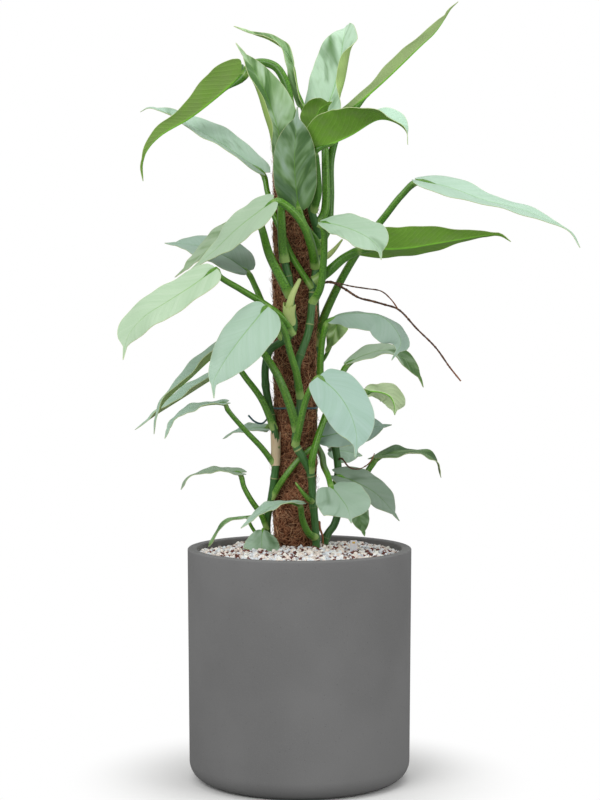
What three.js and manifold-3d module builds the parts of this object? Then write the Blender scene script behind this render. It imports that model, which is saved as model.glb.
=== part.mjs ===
// A potted silver queen philodendron climbing a coir pole.
// Millimetres, +Z up, +Y away from the front. The origin is the centre of the pot's base.
import * as THREE from 'three';
import { mergeVertices } from 'three/addons/utils/BufferGeometryUtils.js';
import Module from 'manifold-3d';

const wasm = await Module();
wasm.setup();

// Driving dimensions
const FIT_GAP = 0.3;
const POT = {
  rimRadius: 160, footRadius: 158, height: 332, wall: 14, floor: 18, footEdge: 28, lipEdge: 2,
  sides: 48, arcSteps: 5,
};
const GRAVEL = { edgeHeight: 321, mound: 8, grain: 3.2, rings: 12, spokes: 44 };
const POLE = {
  x: -7, y: 50, radius: 30.6, shag: 1.3, top: 920, foot: 60, bore: 12.4, rings: 27, sides: 20,
};
const STAKE = { radius: 12, foot: 24, top: 912 };
const STEM = { radius: 5.5, nodeSwell: 1.14, nodeHalf: 4, internode: 46, sides: 6, tip: 0.7 };
const BLADE = {
  thickness: 1.1, drip: 0.9, dripHalf: 3, tipHalf: 0.9, ribEnd: 0.16,
  waves: 2.2, waveSlant: 0.3, calmHalf: 12, openHalf: 8,
};
const STALK = { sides: 6, flare: 1.15, ribRadius: 0.9, sink: 0.6, endSink: 0.8 };
const SPEAR = { sides: 7, steps: 5 };
const ROOT = { sides: 5, branchSteps: 6 };
const TIE = { height: 530, wire: 0.9, sides: 4, ringSteps: 30, endSteps: 6 };
const GAUGE = { x: 77, y: -9, width: 10, depth: 7, top: 343, window: 58, tube: 4.4, foot: 40, lap: 5 };
const HOLE = { sides: 12, poleSides: 28, past: 10 };
const FRONT_VIEW = { distance: 2900, height: 690 };

// Plain materials
const paint = (color, roughness) => new THREE.MeshStandardMaterial({ color, roughness, metalness: 0 });
const MATERIALS = {
  pot: paint(0x6f7072, 0.85),
  gravel: paint(0xcbb9ae, 0.9),
  coir: paint(0x6d432c, 1),
  wood: paint(0xb08d62, 0.8),
  wire: paint(0x22333a, 0.5),
  gauge: paint(0xe3e2e4, 0.4),
  stem: paint(0x4f7f4a, 0.5),
  silver: paint(0x9fc6ae, 0.5),
  green: paint(0x5e9440, 0.5),
  pale: paint(0xc4dcae, 0.5),
  root: paint(0x3b2a20, 0.8),
};

const group = new THREE.Group();

function addMesh(name, geometry, material) {
  const mesh = new THREE.Mesh(geometry, material);
  mesh.name = name;
  group.add(mesh);
}

// A repeatable random draw between 0 and 1
function seededRandom(seed) {
  let state = seed;
  return () => {
    state = (state * 16807) % 2147483647;
    return state / 2147483647;
  };
}

// Geometry and solids
function signedVolume(points, faces) {
  return faces.reduce((sum, [a, b, c]) => sum + points[a].dot(points[b].clone().cross(points[c])) / 6, 0);
}

function closedGeometry(points, faces) {
  const outward = signedVolume(points, faces) > 0 ? faces : faces.map(([a, b, c]) => [a, c, b]);
  const geometry = new THREE.BufferGeometry();
  const places = points.flatMap((point) => point.toArray());
  geometry.setAttribute('position', new THREE.Float32BufferAttribute(places, 3));
  geometry.setIndex(outward.flat());
  return geometry;
}

function solidOf(geometry) {
  const bare = geometry.clone();
  bare.deleteAttribute('normal');
  bare.deleteAttribute('uv');
  const merged = mergeVertices(bare, 1e-4);
  return new wasm.Manifold(new wasm.Mesh({
    numProp: 3,
    vertProperties: Float32Array.from(merged.attributes.position.array),
    triVerts: Uint32Array.from(merged.index.array),
  }));
}

function geometryOf(solid) {
  const mesh = solid.getMesh();
  const geometry = new THREE.BufferGeometry();
  geometry.setAttribute('position', new THREE.BufferAttribute(mesh.vertProperties, 3));
  geometry.setIndex(new THREE.BufferAttribute(mesh.triVerts, 1));
  geometry.computeVertexNormals();
  return geometry;
}

function largestPiece(solid) {
  return solid.decompose().reduce((best, piece) => (piece.volume() > best.volume() ? piece : best));
}

const vector = ([x, y, z]) => new THREE.Vector3(x, y, z);
const curveThrough = (points) => new THREE.CatmullRomCurve3(points, false, 'centripetal');
const evenMarks = (steps) => Array.from({ length: steps + 1 }, (_, i) => i / steps);

// A closed tube along a curve: marks are the shares of its length that get a ring of points
function tube(curve, radiusAt, sides, marks) {
  const frameSteps = 200;
  const frames = curve.computeFrenetFrames(frameSteps, false);
  const points = marks.flatMap((mark) => {
    const centre = curve.getPointAt(mark);
    const frame = Math.round(mark * frameSteps);
    return Array.from({ length: sides }, (_, k) => {
      const turn = (2 * Math.PI * k) / sides;
      return centre.clone()
        .addScaledVector(frames.normals[frame], radiusAt(mark) * Math.cos(turn))
        .addScaledVector(frames.binormals[frame], radiusAt(mark) * Math.sin(turn));
    });
  });
  return closedGeometry(points, tubeFaces(marks.length, sides));
}

function tubeFaces(rings, sides) {
  const faces = [];
  for (let i = 0; i + 1 < rings; i += 1) {
    for (let k = 0; k < sides; k += 1) {
      const here = i * sides + k;
      const next = i * sides + ((k + 1) % sides);
      faces.push([here, next, here + sides], [next, next + sides, here + sides]);
    }
  }
  const last = (rings - 1) * sides;
  for (let k = 1; k + 1 < sides; k += 1) {
    faces.push([0, k + 1, k], [last, last + k, last + k + 1]);
  }
  return faces;
}

function uprightCylinder(radius, low, high, x, y, sides) {
  const geometry = new THREE.CylinderGeometry(radius, radius, high - low, sides);
  geometry.rotateX(Math.PI / 2);
  geometry.translate(x, y, (low + high) / 2);
  return geometry;
}

function uprightBox(width, depth, low, high, x, y) {
  const geometry = new THREE.BoxGeometry(width, depth, high - low);
  geometry.translate(x, y, (low + high) / 2);
  return geometry;
}

// Pot: a turned cylinder with a rounded foot, open at the top
function potGeometry() {
  const inner = POT.rimRadius - POT.wall;
  const profile = [new THREE.Vector2(0, 0)];
  for (let i = 0; i <= POT.arcSteps; i += 1) {
    const turn = (Math.PI / 2) * (i / POT.arcSteps);
    profile.push(new THREE.Vector2(
      POT.footRadius - POT.footEdge * (1 - Math.sin(turn)),
      POT.footEdge * (1 - Math.cos(turn)),
    ));
  }
  profile.push(
    new THREE.Vector2(POT.rimRadius, POT.height - POT.lipEdge),
    new THREE.Vector2(POT.rimRadius - POT.lipEdge, POT.height),
    new THREE.Vector2(inner + POT.lipEdge, POT.height),
    new THREE.Vector2(inner, POT.height - POT.lipEdge),
    new THREE.Vector2(inner, POT.floor),
    new THREE.Vector2(0, POT.floor),
  );
  const geometry = new THREE.LatheGeometry(profile, POT.sides);
  geometry.rotateX(Math.PI / 2);
  return geometryOf(solidOf(geometry));
}

addMesh('pot', potGeometry(), MATERIALS.pot);

// Stems: each from its foot in the gravel up the pole, with a swollen ring at each node
const STEMS = {
  left: [[-47, 44, 250], [-47, 44, 334], [-47, 43, 366], [-41, 29, 398], [-35, 21, 441], [-34, 20, 484],
    [-41, 26, 520], [-49, 41, 563], [-49, 39, 592], [-42, 25, 614], [-23, 11, 628], [-9, 7, 643],
    [-12, 7, 678], [-14, 6, 707], [-21, 5, 740]],
  front: [[24, 18, 250], [24, 18, 334], [22, 17, 369], [19, 14, 398], [16, 10, 436], [5, -1, 460],
    [-6, -3, 482], [-1, 2, 514], [1, 7, 543], [-4, 7, 588], [5, 9, 617], [13, 12, 641], [20, 17, 703],
    [25, 20, 740], [29, 24, 771], [20, 14, 802], [13, 8, 835],
    [10, 7, 865], [9, 8, 890]],
  right: [[37, 40, 250], [37, 40, 300], [37, 40, 336], [42, 41, 348], [50, 42, 359], [56, 44, 380],
    [54, 45, 410],
    [56, 45, 439], [50, 42, 483], [39, 38, 527], [32, 33, 563]],
  back: [[16, 86, 250], [16, 86, 334], [18, 86, 392], [20, 85, 465], [21, 84, 539], [23, 82, 612],
    [23, 82, 685], [20, 84, 741]],
};

function stemSolid(side, extra) {
  const curve = curveThrough(STEMS[side].map(vector));
  const length = curve.getLength();
  const swell = new Map([[0, 1]]);
  for (let at = STEM.internode; at < length - STEM.internode / 2; at += STEM.internode) {
    swell.set((at - STEM.nodeHalf) / length, 1);
    swell.set(at / length, STEM.nodeSwell);
    swell.set((at + STEM.nodeHalf) / length, 1);
  }
  swell.set(1 - STEM.nodeHalf / length, 1);
  swell.set(1, STEM.tip);
  const radiusAt = (mark) => STEM.radius * swell.get(mark) + extra;
  return solidOf(tube(curve, radiusAt, STEM.sides, [...swell.keys()]));
}

const stemClearance = {};
for (const side of Object.keys(STEMS)) {
  addMesh(`stem_${side}`, geometryOf(stemSolid(side, 0)), MATERIALS.stem);
  stemClearance[side] = stemSolid(side, FIT_GAP);
}

// Coir pole: a shaggy wrap round a wooden stake, drawn in evenly where the wire ties it
function poleSolid() {
  const random = seededRandom(11);
  const points = [];
  const step = (POLE.top - POLE.foot) / POLE.rings;
  for (let i = 0; i <= POLE.rings; i += 1) {
    const z = POLE.foot + step * i;
    const shag = Math.abs(z - TIE.height) < step ? 0 : POLE.shag;
    for (let k = 0; k < POLE.sides; k += 1) {
      const turn = (2 * Math.PI * k) / POLE.sides;
      const radius = POLE.radius + shag * (2 * random() - 1);
      points.push(new THREE.Vector3(POLE.x + radius * Math.cos(turn), POLE.y + radius * Math.sin(turn), z));
    }
  }
  const [low, high] = [POLE.foot - HOLE.past, POLE.top + HOLE.past];
  const bore = uprightCylinder(POLE.bore, low, high, POLE.x, POLE.y, POLE.sides);
  return solidOf(closedGeometry(points, tubeFaces(POLE.rings + 1, POLE.sides))).subtract(solidOf(bore));
}

addMesh('pole_coir', geometryOf(poleSolid()), MATERIALS.coir);
const stake = uprightCylinder(STAKE.radius, STAKE.foot, STAKE.top, POLE.x, POLE.y, POLE.sides);
addMesh('pole_stake', stake, MATERIALS.wood);

// Wire tie round the pole, with one loose end
function tieGeometry() {
  const ringRadius = POLE.radius + FIT_GAP + TIE.wire;
  const ring = new THREE.TorusGeometry(ringRadius, TIE.wire, TIE.sides, TIE.ringSteps);
  ring.translate(POLE.x, POLE.y, TIE.height);
  const end = curveThrough([
    [-38.9, 50, 530], [-44, 47, 518], [-54, 43, 507], [-65, 40, 510], [-74, 38, 519],
  ].map(vector));
  const endTube = tube(end, () => TIE.wire, TIE.sides, evenMarks(TIE.endSteps));
  return geometryOf(solidOf(ring).add(solidOf(endTube)));
}

addMesh('tie_wire', tieGeometry(), MATERIALS.wire);

// Water gauge: a flat window over a float tube that reaches down into the pot
function gaugeSolid(extra) {
  const windowFoot = GAUGE.top - GAUGE.window;
  const [width, depth] = [GAUGE.width + 2 * extra, GAUGE.depth + 2 * extra];
  const window = uprightBox(width, depth, windowFoot - extra, GAUGE.top + extra, GAUGE.x, GAUGE.y);
  const [low, high] = [GAUGE.foot - extra, windowFoot + GAUGE.lap];
  const float = uprightCylinder(GAUGE.tube + extra, low, high, GAUGE.x, GAUGE.y, HOLE.sides);
  return solidOf(window).add(solidOf(float));
}

addMesh('level_gauge', geometryOf(gaugeSolid(0)), MATERIALS.gauge);

// Gravel: one bed with a grainy top, and a plain hole for each thing that stands in it
function gravelBed() {
  const random = seededRandom(5);
  const radius = POT.rimRadius - POT.wall - 2 * FIT_GAP;
  const floor = POT.floor + FIT_GAP;
  const surface = (x, y) => {
    const reach = Math.hypot(x, y) / radius;
    return GRAVEL.edgeHeight + GRAVEL.mound * (1 - reach * reach) + GRAVEL.grain * (2 * random() - 1);
  };
  const points = [new THREE.Vector3(0, 0, surface(0, 0))];
  for (let i = 1; i <= GRAVEL.rings; i += 1) {
    for (let k = 0; k < GRAVEL.spokes; k += 1) {
      const turn = (2 * Math.PI * (k + (i % 2) / 2)) / GRAVEL.spokes;
      const x = ((radius * i) / GRAVEL.rings) * Math.cos(turn);
      const y = ((radius * i) / GRAVEL.rings) * Math.sin(turn);
      points.push(new THREE.Vector3(x, y, surface(x, y)));
    }
  }
  const top = (i, k) => 1 + (i - 1) * GRAVEL.spokes + (k % GRAVEL.spokes);
  const centre = points.length;
  const low = (k) => centre + 1 + (k % GRAVEL.spokes);
  points.push(new THREE.Vector3(0, 0, floor));
  for (let k = 0; k < GRAVEL.spokes; k += 1) {
    const rim = points[top(GRAVEL.rings, k)];
    points.push(new THREE.Vector3(rim.x, rim.y, floor));
  }
  const faces = [];
  for (let k = 0; k < GRAVEL.spokes; k += 1) {
    faces.push([0, top(1, k), top(1, k + 1)], [centre, low(k + 1), low(k)]);
    faces.push([top(GRAVEL.rings, k), low(k), top(GRAVEL.rings, k + 1)]);
    faces.push([top(GRAVEL.rings, k + 1), low(k), low(k + 1)]);
    for (let i = 1; i < GRAVEL.rings; i += 1) {
      const lead = i % 2;
      faces.push([top(i, k), top(i + 1, k + lead), top(i, k + 1)]);
      faces.push([top(i, k + 1 - lead), top(i + 1, k), top(i + 1, k + 1)]);
    }
  }
  return solidOf(closedGeometry(points, faces));
}

function gravelGeometry() {
  const above = POT.height + HOLE.past;
  const stemHole = STEM.radius * STEM.nodeSwell + 2 * FIT_GAP;
  const poleHole = POLE.radius + POLE.shag + 2 * FIT_GAP;
  const stakeHole = STAKE.radius + 2 * FIT_GAP;
  const holes = [
    uprightCylinder(poleHole, POLE.foot - FIT_GAP, above, POLE.x, POLE.y, HOLE.poleSides),
    uprightCylinder(stakeHole, STAKE.foot - FIT_GAP, POLE.foot, POLE.x, POLE.y, POLE.sides),
    ...Object.values(STEMS).map(([[x, y, foot]]) => (
      uprightCylinder(stemHole, foot - FIT_GAP, above, x, y, HOLE.sides))),
  ];
  const bed = holes.reduce((solid, hole) => solid.subtract(solidOf(hole)), gravelBed());
  return geometryOf(largestPiece(bed.subtract(gaugeSolid(FIT_GAP))));
}

addMesh('gravel_bed', gravelGeometry(), MATERIALS.gravel);

// Leaves. The stalk runs from the middle of its stem to the blade, and the rib from there to the tip.
// The face is where the upper side looks, and fold, in degrees, is how far each half is raised from flat.
// The halves make either half wider or narrower.
const LEAF = {
  halves: [1, 1], fold: [15, 15], roll: [0, 0], curl: 0.1, wave: 2, lobe: 0.1, heel: 0.3, peak: 0.3,
  fullness: 2.3, girth: [5.2, 4], lean: 0, step: 36,
};
const LEAVES = {
  // Crown
  leaf_crown_arching: {
    stem: 'front', look: 'green', width: 76, face: [-0.45, 0.55, 0.7], lean: 50, fold: [50, 70],
    lobe: 0.05, heel: 0.7, peak: 0.12, fullness: 1, girth: [7.2, 5.6],
    stalk: [[13, 8, 840], [4, 4, 862], [-5, 6, 900], [-12, 12, 952], [-21, 20, 997], [-35, 24, 1018],
      [-55, 26, 1024], [-71, 25, 1019]],
    rib: [[-81, 24, 1006], [-115, 18, 976], [-154, 12, 945], [-198, 8, 918], [-217, 6, 897],
      [-224, 4, 876], [-222, 2, 854]],
  },
  leaf_crown_upright: {
    stem: 'left', look: 'silver', width: 66, face: [0.15, -0.95, 0.2], fold: [34, 10], peak: 0.35,
    fullness: 1.7, girth: [7, 4.6],
    stalk: [[-21, 5, 740], [-24, -2, 765], [-26, -6, 827], [-23, -6, 866]],
    rib: [[-22, -6, 883], [-32, -6, 931], [-50, -8, 982], [-70, -8, 1019], [-90, -4, 1048]],
  },
  leaf_crown_rolled: {
    stem: 'front', look: 'green', width: 26, face: [-0.5, -0.3, 0.8], lean: 30, fold: [60, 60],
    wave: 0, lobe: 0.02, girth: [4.6, 4],
    stalk: [[9, 8, 889], [11, 14, 920], [7, 23, 955]],
    rib: [[2, 26, 964], [-4, 28, 994], [-8, 30, 1018], [-19, 32, 1040], [-41, 34, 1056], [-67, 36, 1066],
      [-94, 38, 1077]],
  },
  leaf_crown_broad: {
    stem: 'front', look: 'silver', width: 84, face: [-0.35, -0.9, 0.3], halves: [0.97, 1.08],
    fold: [10, 38], curl: 0.15, heel: 0.85, fullness: 2.4, girth: [6.4, 4.6],
    stalk: [[25, 19, 790], [36, 17, 812], [37, 22, 880], [36, 30, 940]],
    rib: [[39, 34, 960], [48, 36, 983], [54, 39, 1006], [59, 43, 1030], [62, 48, 1051], [65, 58, 1070],
      [68, 74, 1081], [69, 90, 1085]],
  },
  leaf_crown_long: {
    stem: 'front', look: 'green', width: 32, face: [-0.6, 0.4, 0.7], lean: -70, halves: [0.7, 1],
    fold: [55, 58], heel: 0.5, peak: 0.62, fullness: 2, girth: [6.6, 4.8],
    stalk: [[28, 23, 766], [40, 36, 788], [44, 40, 830], [45, 42, 887], [55, 46, 927], [63, 48, 950]],
    rib: [[74, 49, 959], [83, 50, 966], [113, 52, 992], [145, 54, 1022], [177, 57, 1053],
      [194, 58, 1069], [207, 59, 1087], [217, 60, 1104], [229, 60, 1115]],
  },
  leaf_crown_cupped: {
    stem: 'front', look: 'green', width: 96, face: [-0.1, 0.92, 0.35], lean: -55,
    halves: [0.62, 1], fold: [68, 10], roll: [0, 130], lobe: 0.06, heel: 0.4, peak: 0.2,
    fullness: 2.8, girth: [6, 4.6],
    stalk: [[19, 13, 812], [26, -4, 835], [25, -18, 865], [23, -26, 884]],
    rib: [[22, -26, 895], [71, -30, 916], [111, -34, 938], [133, -38, 934], [149, -42, 921],
      [151, -46, 902]],
  },
  leaf_crown_small: {
    stem: 'front', look: 'green', width: 48, face: [0.2, 0.8, 0.5], lobe: 0.04, heel: 0.4,
    girth: [3.4, 3],
    stalk: [[10, 7, 875], [18, 0, 889], [19, -4, 908]],
    rib: [[19, -4, 928], [29, -2, 955], [46, 2, 966]],
  },
  leaf_crown_front: {
    stem: 'front', look: 'silver', width: 62, face: [0.05, -1, 0.15], fold: [12, 12], lobe: 0.04,
    peak: 0.28, fullness: 3.4, girth: [5.6, 4.2],
    stalk: [[26, 21, 752], [24, 6, 768], [8, -12, 790]],
    rib: [[-2, -20, 818], [-7, -44, 874], [-3, -52, 954]],
  },
  // Upper leaves
  leaf_upper_far_left: {
    stem: 'front', look: 'silver', width: 60, face: [0.2, -0.45, 0.85], lean: 45, fold: [25, 25],
    lobe: 0.03, girth: [4.4, 3.8],
    stalk: [[18, 15, 703], [5, 9, 722], [-12, 10, 750], [-24, 12, 778], [-36, 22, 805], [-46, 30, 840]],
    rib: [[-52, 34, 868], [-122, 50, 916], [-217, 70, 964], [-231, 72, 958]],
  },
  leaf_upper_left_front: {
    stem: 'front', look: 'silver', width: 68, face: [-0.35, -0.6, 0.7], lean: -35,
    halves: [1.45, 0.85], lobe: 0.05, peak: 0.2, fullness: 1.7, girth: [7, 4.8],
    stalk: [[23, 18, 734], [16, -14, 765], [4, -36, 793], [-12, -46, 812], [-30, -50, 823]],
    rib: [[-39, -48, 822], [-86, -30, 787], [-121, -10, 755], [-157, 4, 727]],
  },
  leaf_upper_left_behind: {
    stem: 'left', look: 'silver', width: 60, face: [-0.3, -0.5, 0.8], lean: 15, girth: [7.4, 5],
    stalk: [[-13, 6, 692], [-26, -4, 716], [-43, -6, 750], [-53, 4, 785]],
    rib: [[-62, 14, 805], [-114, 26, 771], [-179, 28, 718]],
  },
  leaf_upper_left_dark: {
    stem: 'left', look: 'silver', width: 66, face: [0.1, -0.75, 0.65], lean: 60, halves: [1.3, 1],
    fold: [30, 12], lobe: 0.03, peak: 0.25,
    stalk: [[-23, 11, 628], [-36, 18, 650], [-52, 30, 678], [-63, 42, 703]],
    rib: [[-75, 51, 727], [-107, 60, 748], [-149, 66, 764], [-196, 70, 768]],
  },
  leaf_upper_right_long: {
    stem: 'back', look: 'pale', width: 70, face: [0.1, -0.4, 0.9], lean: -60, halves: [0.85, 1.45],
    lobe: 0.02, peak: 0.15, fullness: 1.2, girth: [6.6, 4.6],
    stalk: [[23, 82, 620], [36, 72, 662], [44, 68, 681], [58, 62, 710], [76, 56, 742], [96, 51, 772],
      [123, 44, 806], [147, 39, 836]],
    rib: [[169, 36, 857], [216, 30, 846], [265, 22, 828], [315, 16, 815], [357, 12, 798], [388, 10, 781],
      [400, 10, 760]],
  },
  leaf_upper_right_front: {
    stem: 'front', look: 'pale', width: 60, face: [-0.1, -0.6, 0.8], lean: -45, lobe: 0.05,
    heel: 0.12, peak: 0.52, fullness: 4, girth: [6, 4.4],
    stalk: [[18, 16, 682], [29, 4, 702], [34, -2, 740], [35, -8, 780]],
    rib: [[33, -12, 795], [54, -18, 791], [77, -25, 783], [99, -30, 771], [112, -32, 757], [115, -30, 742]],
  },
  leaf_upper_right_dark: {
    stem: 'front', look: 'green', width: 74, face: [0.05, 0.6, 0.8], lean: 10, fold: [22, 40],
    lobe: 0.05, heel: 0.4, peak: 0.2, fullness: 1.3, girth: [7.4, 5.4],
    stalk: [[21, 17, 712], [40, 14, 725], [65, 14, 746]],
    rib: [[88, 14, 759], [129, 17, 758], [158, 18, 760], [194, 20, 766], [230, 22, 772], [266, 24, 778],
      [287, 26, 779], [303, 27, 769]],
  },
  // Middle leaves
  leaf_middle_left_pale: {
    stem: 'left', look: 'pale', width: 57, face: [-0.35, -0.75, 0.55], lean: -95,
    halves: [1.05, 1], fold: [10, 10], lobe: 0, heel: 0.25, peak: 0.16, fullness: 8,
    stalk: [[-9, 7, 637], [-22, -4, 658], [-47, -12, 678], [-84, -28, 701], [-112, -44, 719]],
    rib: [[-117, -49, 730], [-146, -54, 708], [-183, -57, 684], [-218, -57, 661], [-240, -54, 634],
      [-247, -50, 602]],
  },
  leaf_middle_front: {
    stem: 'front', look: 'silver', width: 72, face: [-0.15, -0.95, 0.3], lean: -50,
    halves: [1.12, 0.82], fold: [8, 8], curl: 0.15, lobe: 0, heel: 0.35, peak: 0.22, fullness: 2.7,
    stalk: [[1, 7, 546], [-4, -8, 579], [-14, -22, 614], [-22, -32, 643], [-35, -39, 664]],
    rib: [[-46, -43, 677], [-61, -50, 658], [-86, -56, 627], [-108, -54, 595], [-120, -52, 571],
      [-120, -50, 548]],
  },
  leaf_middle_left_folded: {
    stem: 'front', look: 'silver', width: 40, face: [-0.6, -0.35, 0.7], fold: [45, 45],
    fullness: 1.8, girth: [6.4, 4.6],
    stalk: [[-3, 0, 497], [-12, -10, 530], [-28, -14, 572], [-48, -12, 606], [-70, -6, 633]],
    rib: [[-85, -2, 639], [-110, -1, 616], [-135, 0, 594], [-156, 1, 574], [-178, 2, 555],
      [-196, 3, 536], [-205, 4, 517], [-208, 4, 494]],
  },
  leaf_middle_left_narrow: {
    stem: 'left', look: 'silver', width: 36, face: [-0.6, -0.3, 0.75], lean: 50, fold: [35, 35],
    stalk: [[-36, 22, 499], [-54, 20, 542], [-75, 22, 571], [-90, 26, 588]],
    rib: [[-104, 30, 586], [-136, 33, 566], [-173, 36, 542], [-209, 38, 519], [-238, 40, 498]],
  },
  leaf_middle_right_arching: {
    stem: 'front', look: 'silver', width: 37, face: [0, -0.3, 0.95], lean: 50, roll: [0, 65],
    lobe: 0.03, fullness: 3,
    stalk: [[16, 9, 440], [19, -6, 463], [26, -5, 489], [35, 0, 515], [48, 10, 550], [60, 17, 578]],
    rib: [[69, 20, 595], [98, 22, 608], [127, 24, 613], [146, 25, 604], [162, 26, 589], [173, 26, 574],
      [178, 26, 560]],
  },
  leaf_middle_right_hooded: {
    stem: 'right', look: 'silver', width: 58, face: [0.2, -0.6, 0.75], lean: -35, fold: [-30, -30],
    curl: 0.05, lobe: 0, heel: 0.05, peak: 0.6, fullness: 3,
    stalk: [[32, 33, 559], [30, 28, 582], [32, 24, 621], [35, 20, 638]],
    rib: [[39, 18, 655], [58, 14, 665], [86, 6, 667], [115, 0, 663], [134, -6, 647], [144, -8, 625],
      [131, -8, 600]],
  },
  leaf_middle_right_young: {
    stem: 'back', look: 'pale', width: 36, face: [0.2, -0.8, 0.4], lean: 20, fold: [10, 10],
    lobe: 0, heel: 0.6, peak: 0.1, fullness: 1, girth: [3, 2.4], step: 12,
    stalk: [[22, 82, 583], [36, 80, 600], [46, 78, 620], [53, 74, 638], [56, 67, 649]],
    rib: [[55, 58, 652], [49, 54, 633], [38, 52, 609]],
  },
  // Low leaves
  leaf_low_left_drooping: {
    stem: 'left', look: 'silver', width: 30, face: [-0.15, -0.2, 0.95], lean: -30, lobe: 0.06,
    heel: 0.4, girth: [4.6, 3.4],
    stalk: [[-35, 21, 448], [-54, 10, 474], [-78, 4, 500], [-103, 2, 530]],
    rib: [[-106, 2, 539], [-138, 0, 535], [-166, -2, 524], [-183, -3, 510], [-192, -4, 488]],
  },
  leaf_low_back_left: {
    stem: 'back', look: 'pale', width: 26, face: [-0.2, -0.45, 0.85], lean: 50, peak: 0.25,
    fullness: 1.2,
    stalk: [[20, 85, 492], [-5, 94, 497], [-30, 88, 501], [-44, 80, 501]],
    rib: [[-49, 74, 498], [-72, 72, 498], [-93, 70, 494], [-112, 66, 483]],
  },
  leaf_low_left_edge: {
    stem: 'left', look: 'silver', width: 26, face: [0.1, -0.3, 0.95], lean: 20, peak: 0.12,
    fullness: 1.3, girth: [4.4, 3.4],
    stalk: [[-47, 43, 354], [-56, 32, 376], [-70, 22, 398], [-80, 18, 417]],
    rib: [[-86, 16, 438], [-111, 14, 441], [-137, 12, 439], [-160, 10, 431], [-170, 8, 414]],
  },
  leaf_low_left_thin: {
    stem: 'left', look: 'pale', width: 9, face: [-0.2, -0.5, 0.8], lean: -6, girth: [3, 2.2],
    stalk: [[-47, 44, 339], [-60, 50, 343], [-67, 52, 351], [-73, 50, 362]],
    rib: [[-76, 50, 370], [-108, 52, 363], [-133, 54, 326]],
  },
  leaf_on_gravel: {
    stem: 'left', look: 'silver', width: 52, face: [0, -0.9, 0.35], wave: 1, lobe: 0, heel: 0.35,
    peak: 0.42, fullness: 2.6, girth: [3.2, 2.4],
    stalk: [[-47, 44, 340], [-48, 32, 350], [-51, 24, 355]],
    rib: [[-53, 15, 354], [-54, 9, 341], [-54, -6, 334], [-55, -28, 333]],
  },
  leaf_low_front_narrow: {
    stem: 'front', look: 'silver', width: 27, face: [-0.2, -0.3, 0.95], lean: -50, heel: 0.2,
    peak: 0.4, girth: [5.6, 3.6],
    stalk: [[23, 18, 344], [13, 2, 352], [4, -6, 373], [1, -10, 392]],
    rib: [[-1, -12, 397], [-25, -18, 397], [-48, -24, 389], [-67, -28, 376], [-83, -32, 363]],
  },
  leaf_low_front_broad: {
    stem: 'front', look: 'silver', width: 70, face: [0.15, -0.95, 0.3], lean: -50, fold: [8, 8],
    curl: 0.15, lobe: 0, heel: 0.5, peak: 0.36, fullness: 3,
    stalk: [[-6, -3, 478], [0, -20, 506], [10, -28, 547], [20, -30, 568]],
    rib: [[27, -32, 578], [53, -42, 555], [71, -50, 527], [80, -54, 494], [78, -54, 465]],
  },
  leaf_low_behind_broad: {
    stem: 'left', look: 'silver', width: 48, face: [0.1, -0.9, 0.4], lean: 15, lobe: 0.04,
    heel: 0.4, peak: 0.4, fullness: 2.5, girth: [4.6, 3.6],
    stalk: [[-40, 28, 400], [-24, 13, 428], [-2, 12, 456], [14, 13, 471], [26, 12, 480]],
    rib: [[29, 12, 489], [65, 9, 497], [101, 7, 503], [132, 8, 507]],
  },
  leaf_low_right_hanging: {
    stem: 'right', look: 'pale', width: 40, face: [0.2, 0.7, 0.6], lean: 50, lobe: 0.04,
    heel: 0.35, peak: 0.5, fullness: 4,
    stalk: [[50, 42, 480], [66, 50, 504], [84, 54, 540], [94, 54, 553]],
    rib: [[97, 54, 553], [117, 52, 552], [131, 48, 546], [137, 45, 535], [138, 44, 519]],
  },
  leaf_low_right_waved: {
    stem: 'right', look: 'green', width: 38, face: [0, -0.25, 1], lean: 30, wave: 3.5, heel: 0.4,
    stalk: [[55, 45, 419], [80, 56, 424], [96, 60, 432], [104, 60, 443]],
    rib: [[112, 60, 456], [135, 58, 462], [161, 56, 463], [184, 54, 461], [199, 54, 451], [206, 54, 427]],
  },
  leaf_low_right_broad: {
    stem: 'right', look: 'silver', width: 48, face: [0.3, -0.8, 0.5], heel: 0.35, peak: 0.35,
    fullness: 2.6,
    stalk: [[54, 45, 402], [54, 37, 415], [53, 34, 427]],
    rib: [[56, 31, 432], [79, 30, 424], [108, 28, 408], [129, 26, 387], [144, 24, 367]],
  },
  leaf_low_right_round: {
    stem: 'back', look: 'silver', width: 74, face: [0.1, -0.85, 0.5], lean: -40, fold: [6, 6],
    lobe: 0.06, heel: 0.5, peak: 0.45, fullness: 4,
    stalk: [[20, 84, 478], [32, 66, 460], [35, 38, 446], [41, 6, 434]],
    rib: [[46, -14, 420], [57, -26, 407], [68, -36, 391], [73, -40, 371]],
  },
  leaf_low_right_pointed: {
    stem: 'right', look: 'green', width: 32, face: [0.2, -0.8, 0.5], lean: -20, heel: 0.4,
    girth: [3.2, 2.4],
    stalk: [[56, 44, 378], [64, 38, 385], [69, 34, 389]],
    rib: [[79, 32, 397], [86, 28, 374], [94, 24, 345]],
  },
  leaf_low_right_pale: {
    stem: 'right', look: 'pale', width: 40, face: [0.1, -0.9, 0.3], lean: 20, heel: 0.4,
    girth: [3.2, 2.4],
    stalk: [[52, 42, 472], [48, 56, 470], [45, 66, 467]],
    rib: [[45, 74, 466], [67, 78, 464], [92, 82, 457]],
  },
};

const BLADE_STATIONS = [0, 0.09, 0.24, 0.42, 0.6, 0.77, BLADE.drip, 1];
const NARROW_STATIONS = [0, 0.14, 0.38, 0.64, BLADE.drip, 1];
const BLADE_ACROSS = [-1, -0.55, 0, 0.55, 1];

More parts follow.
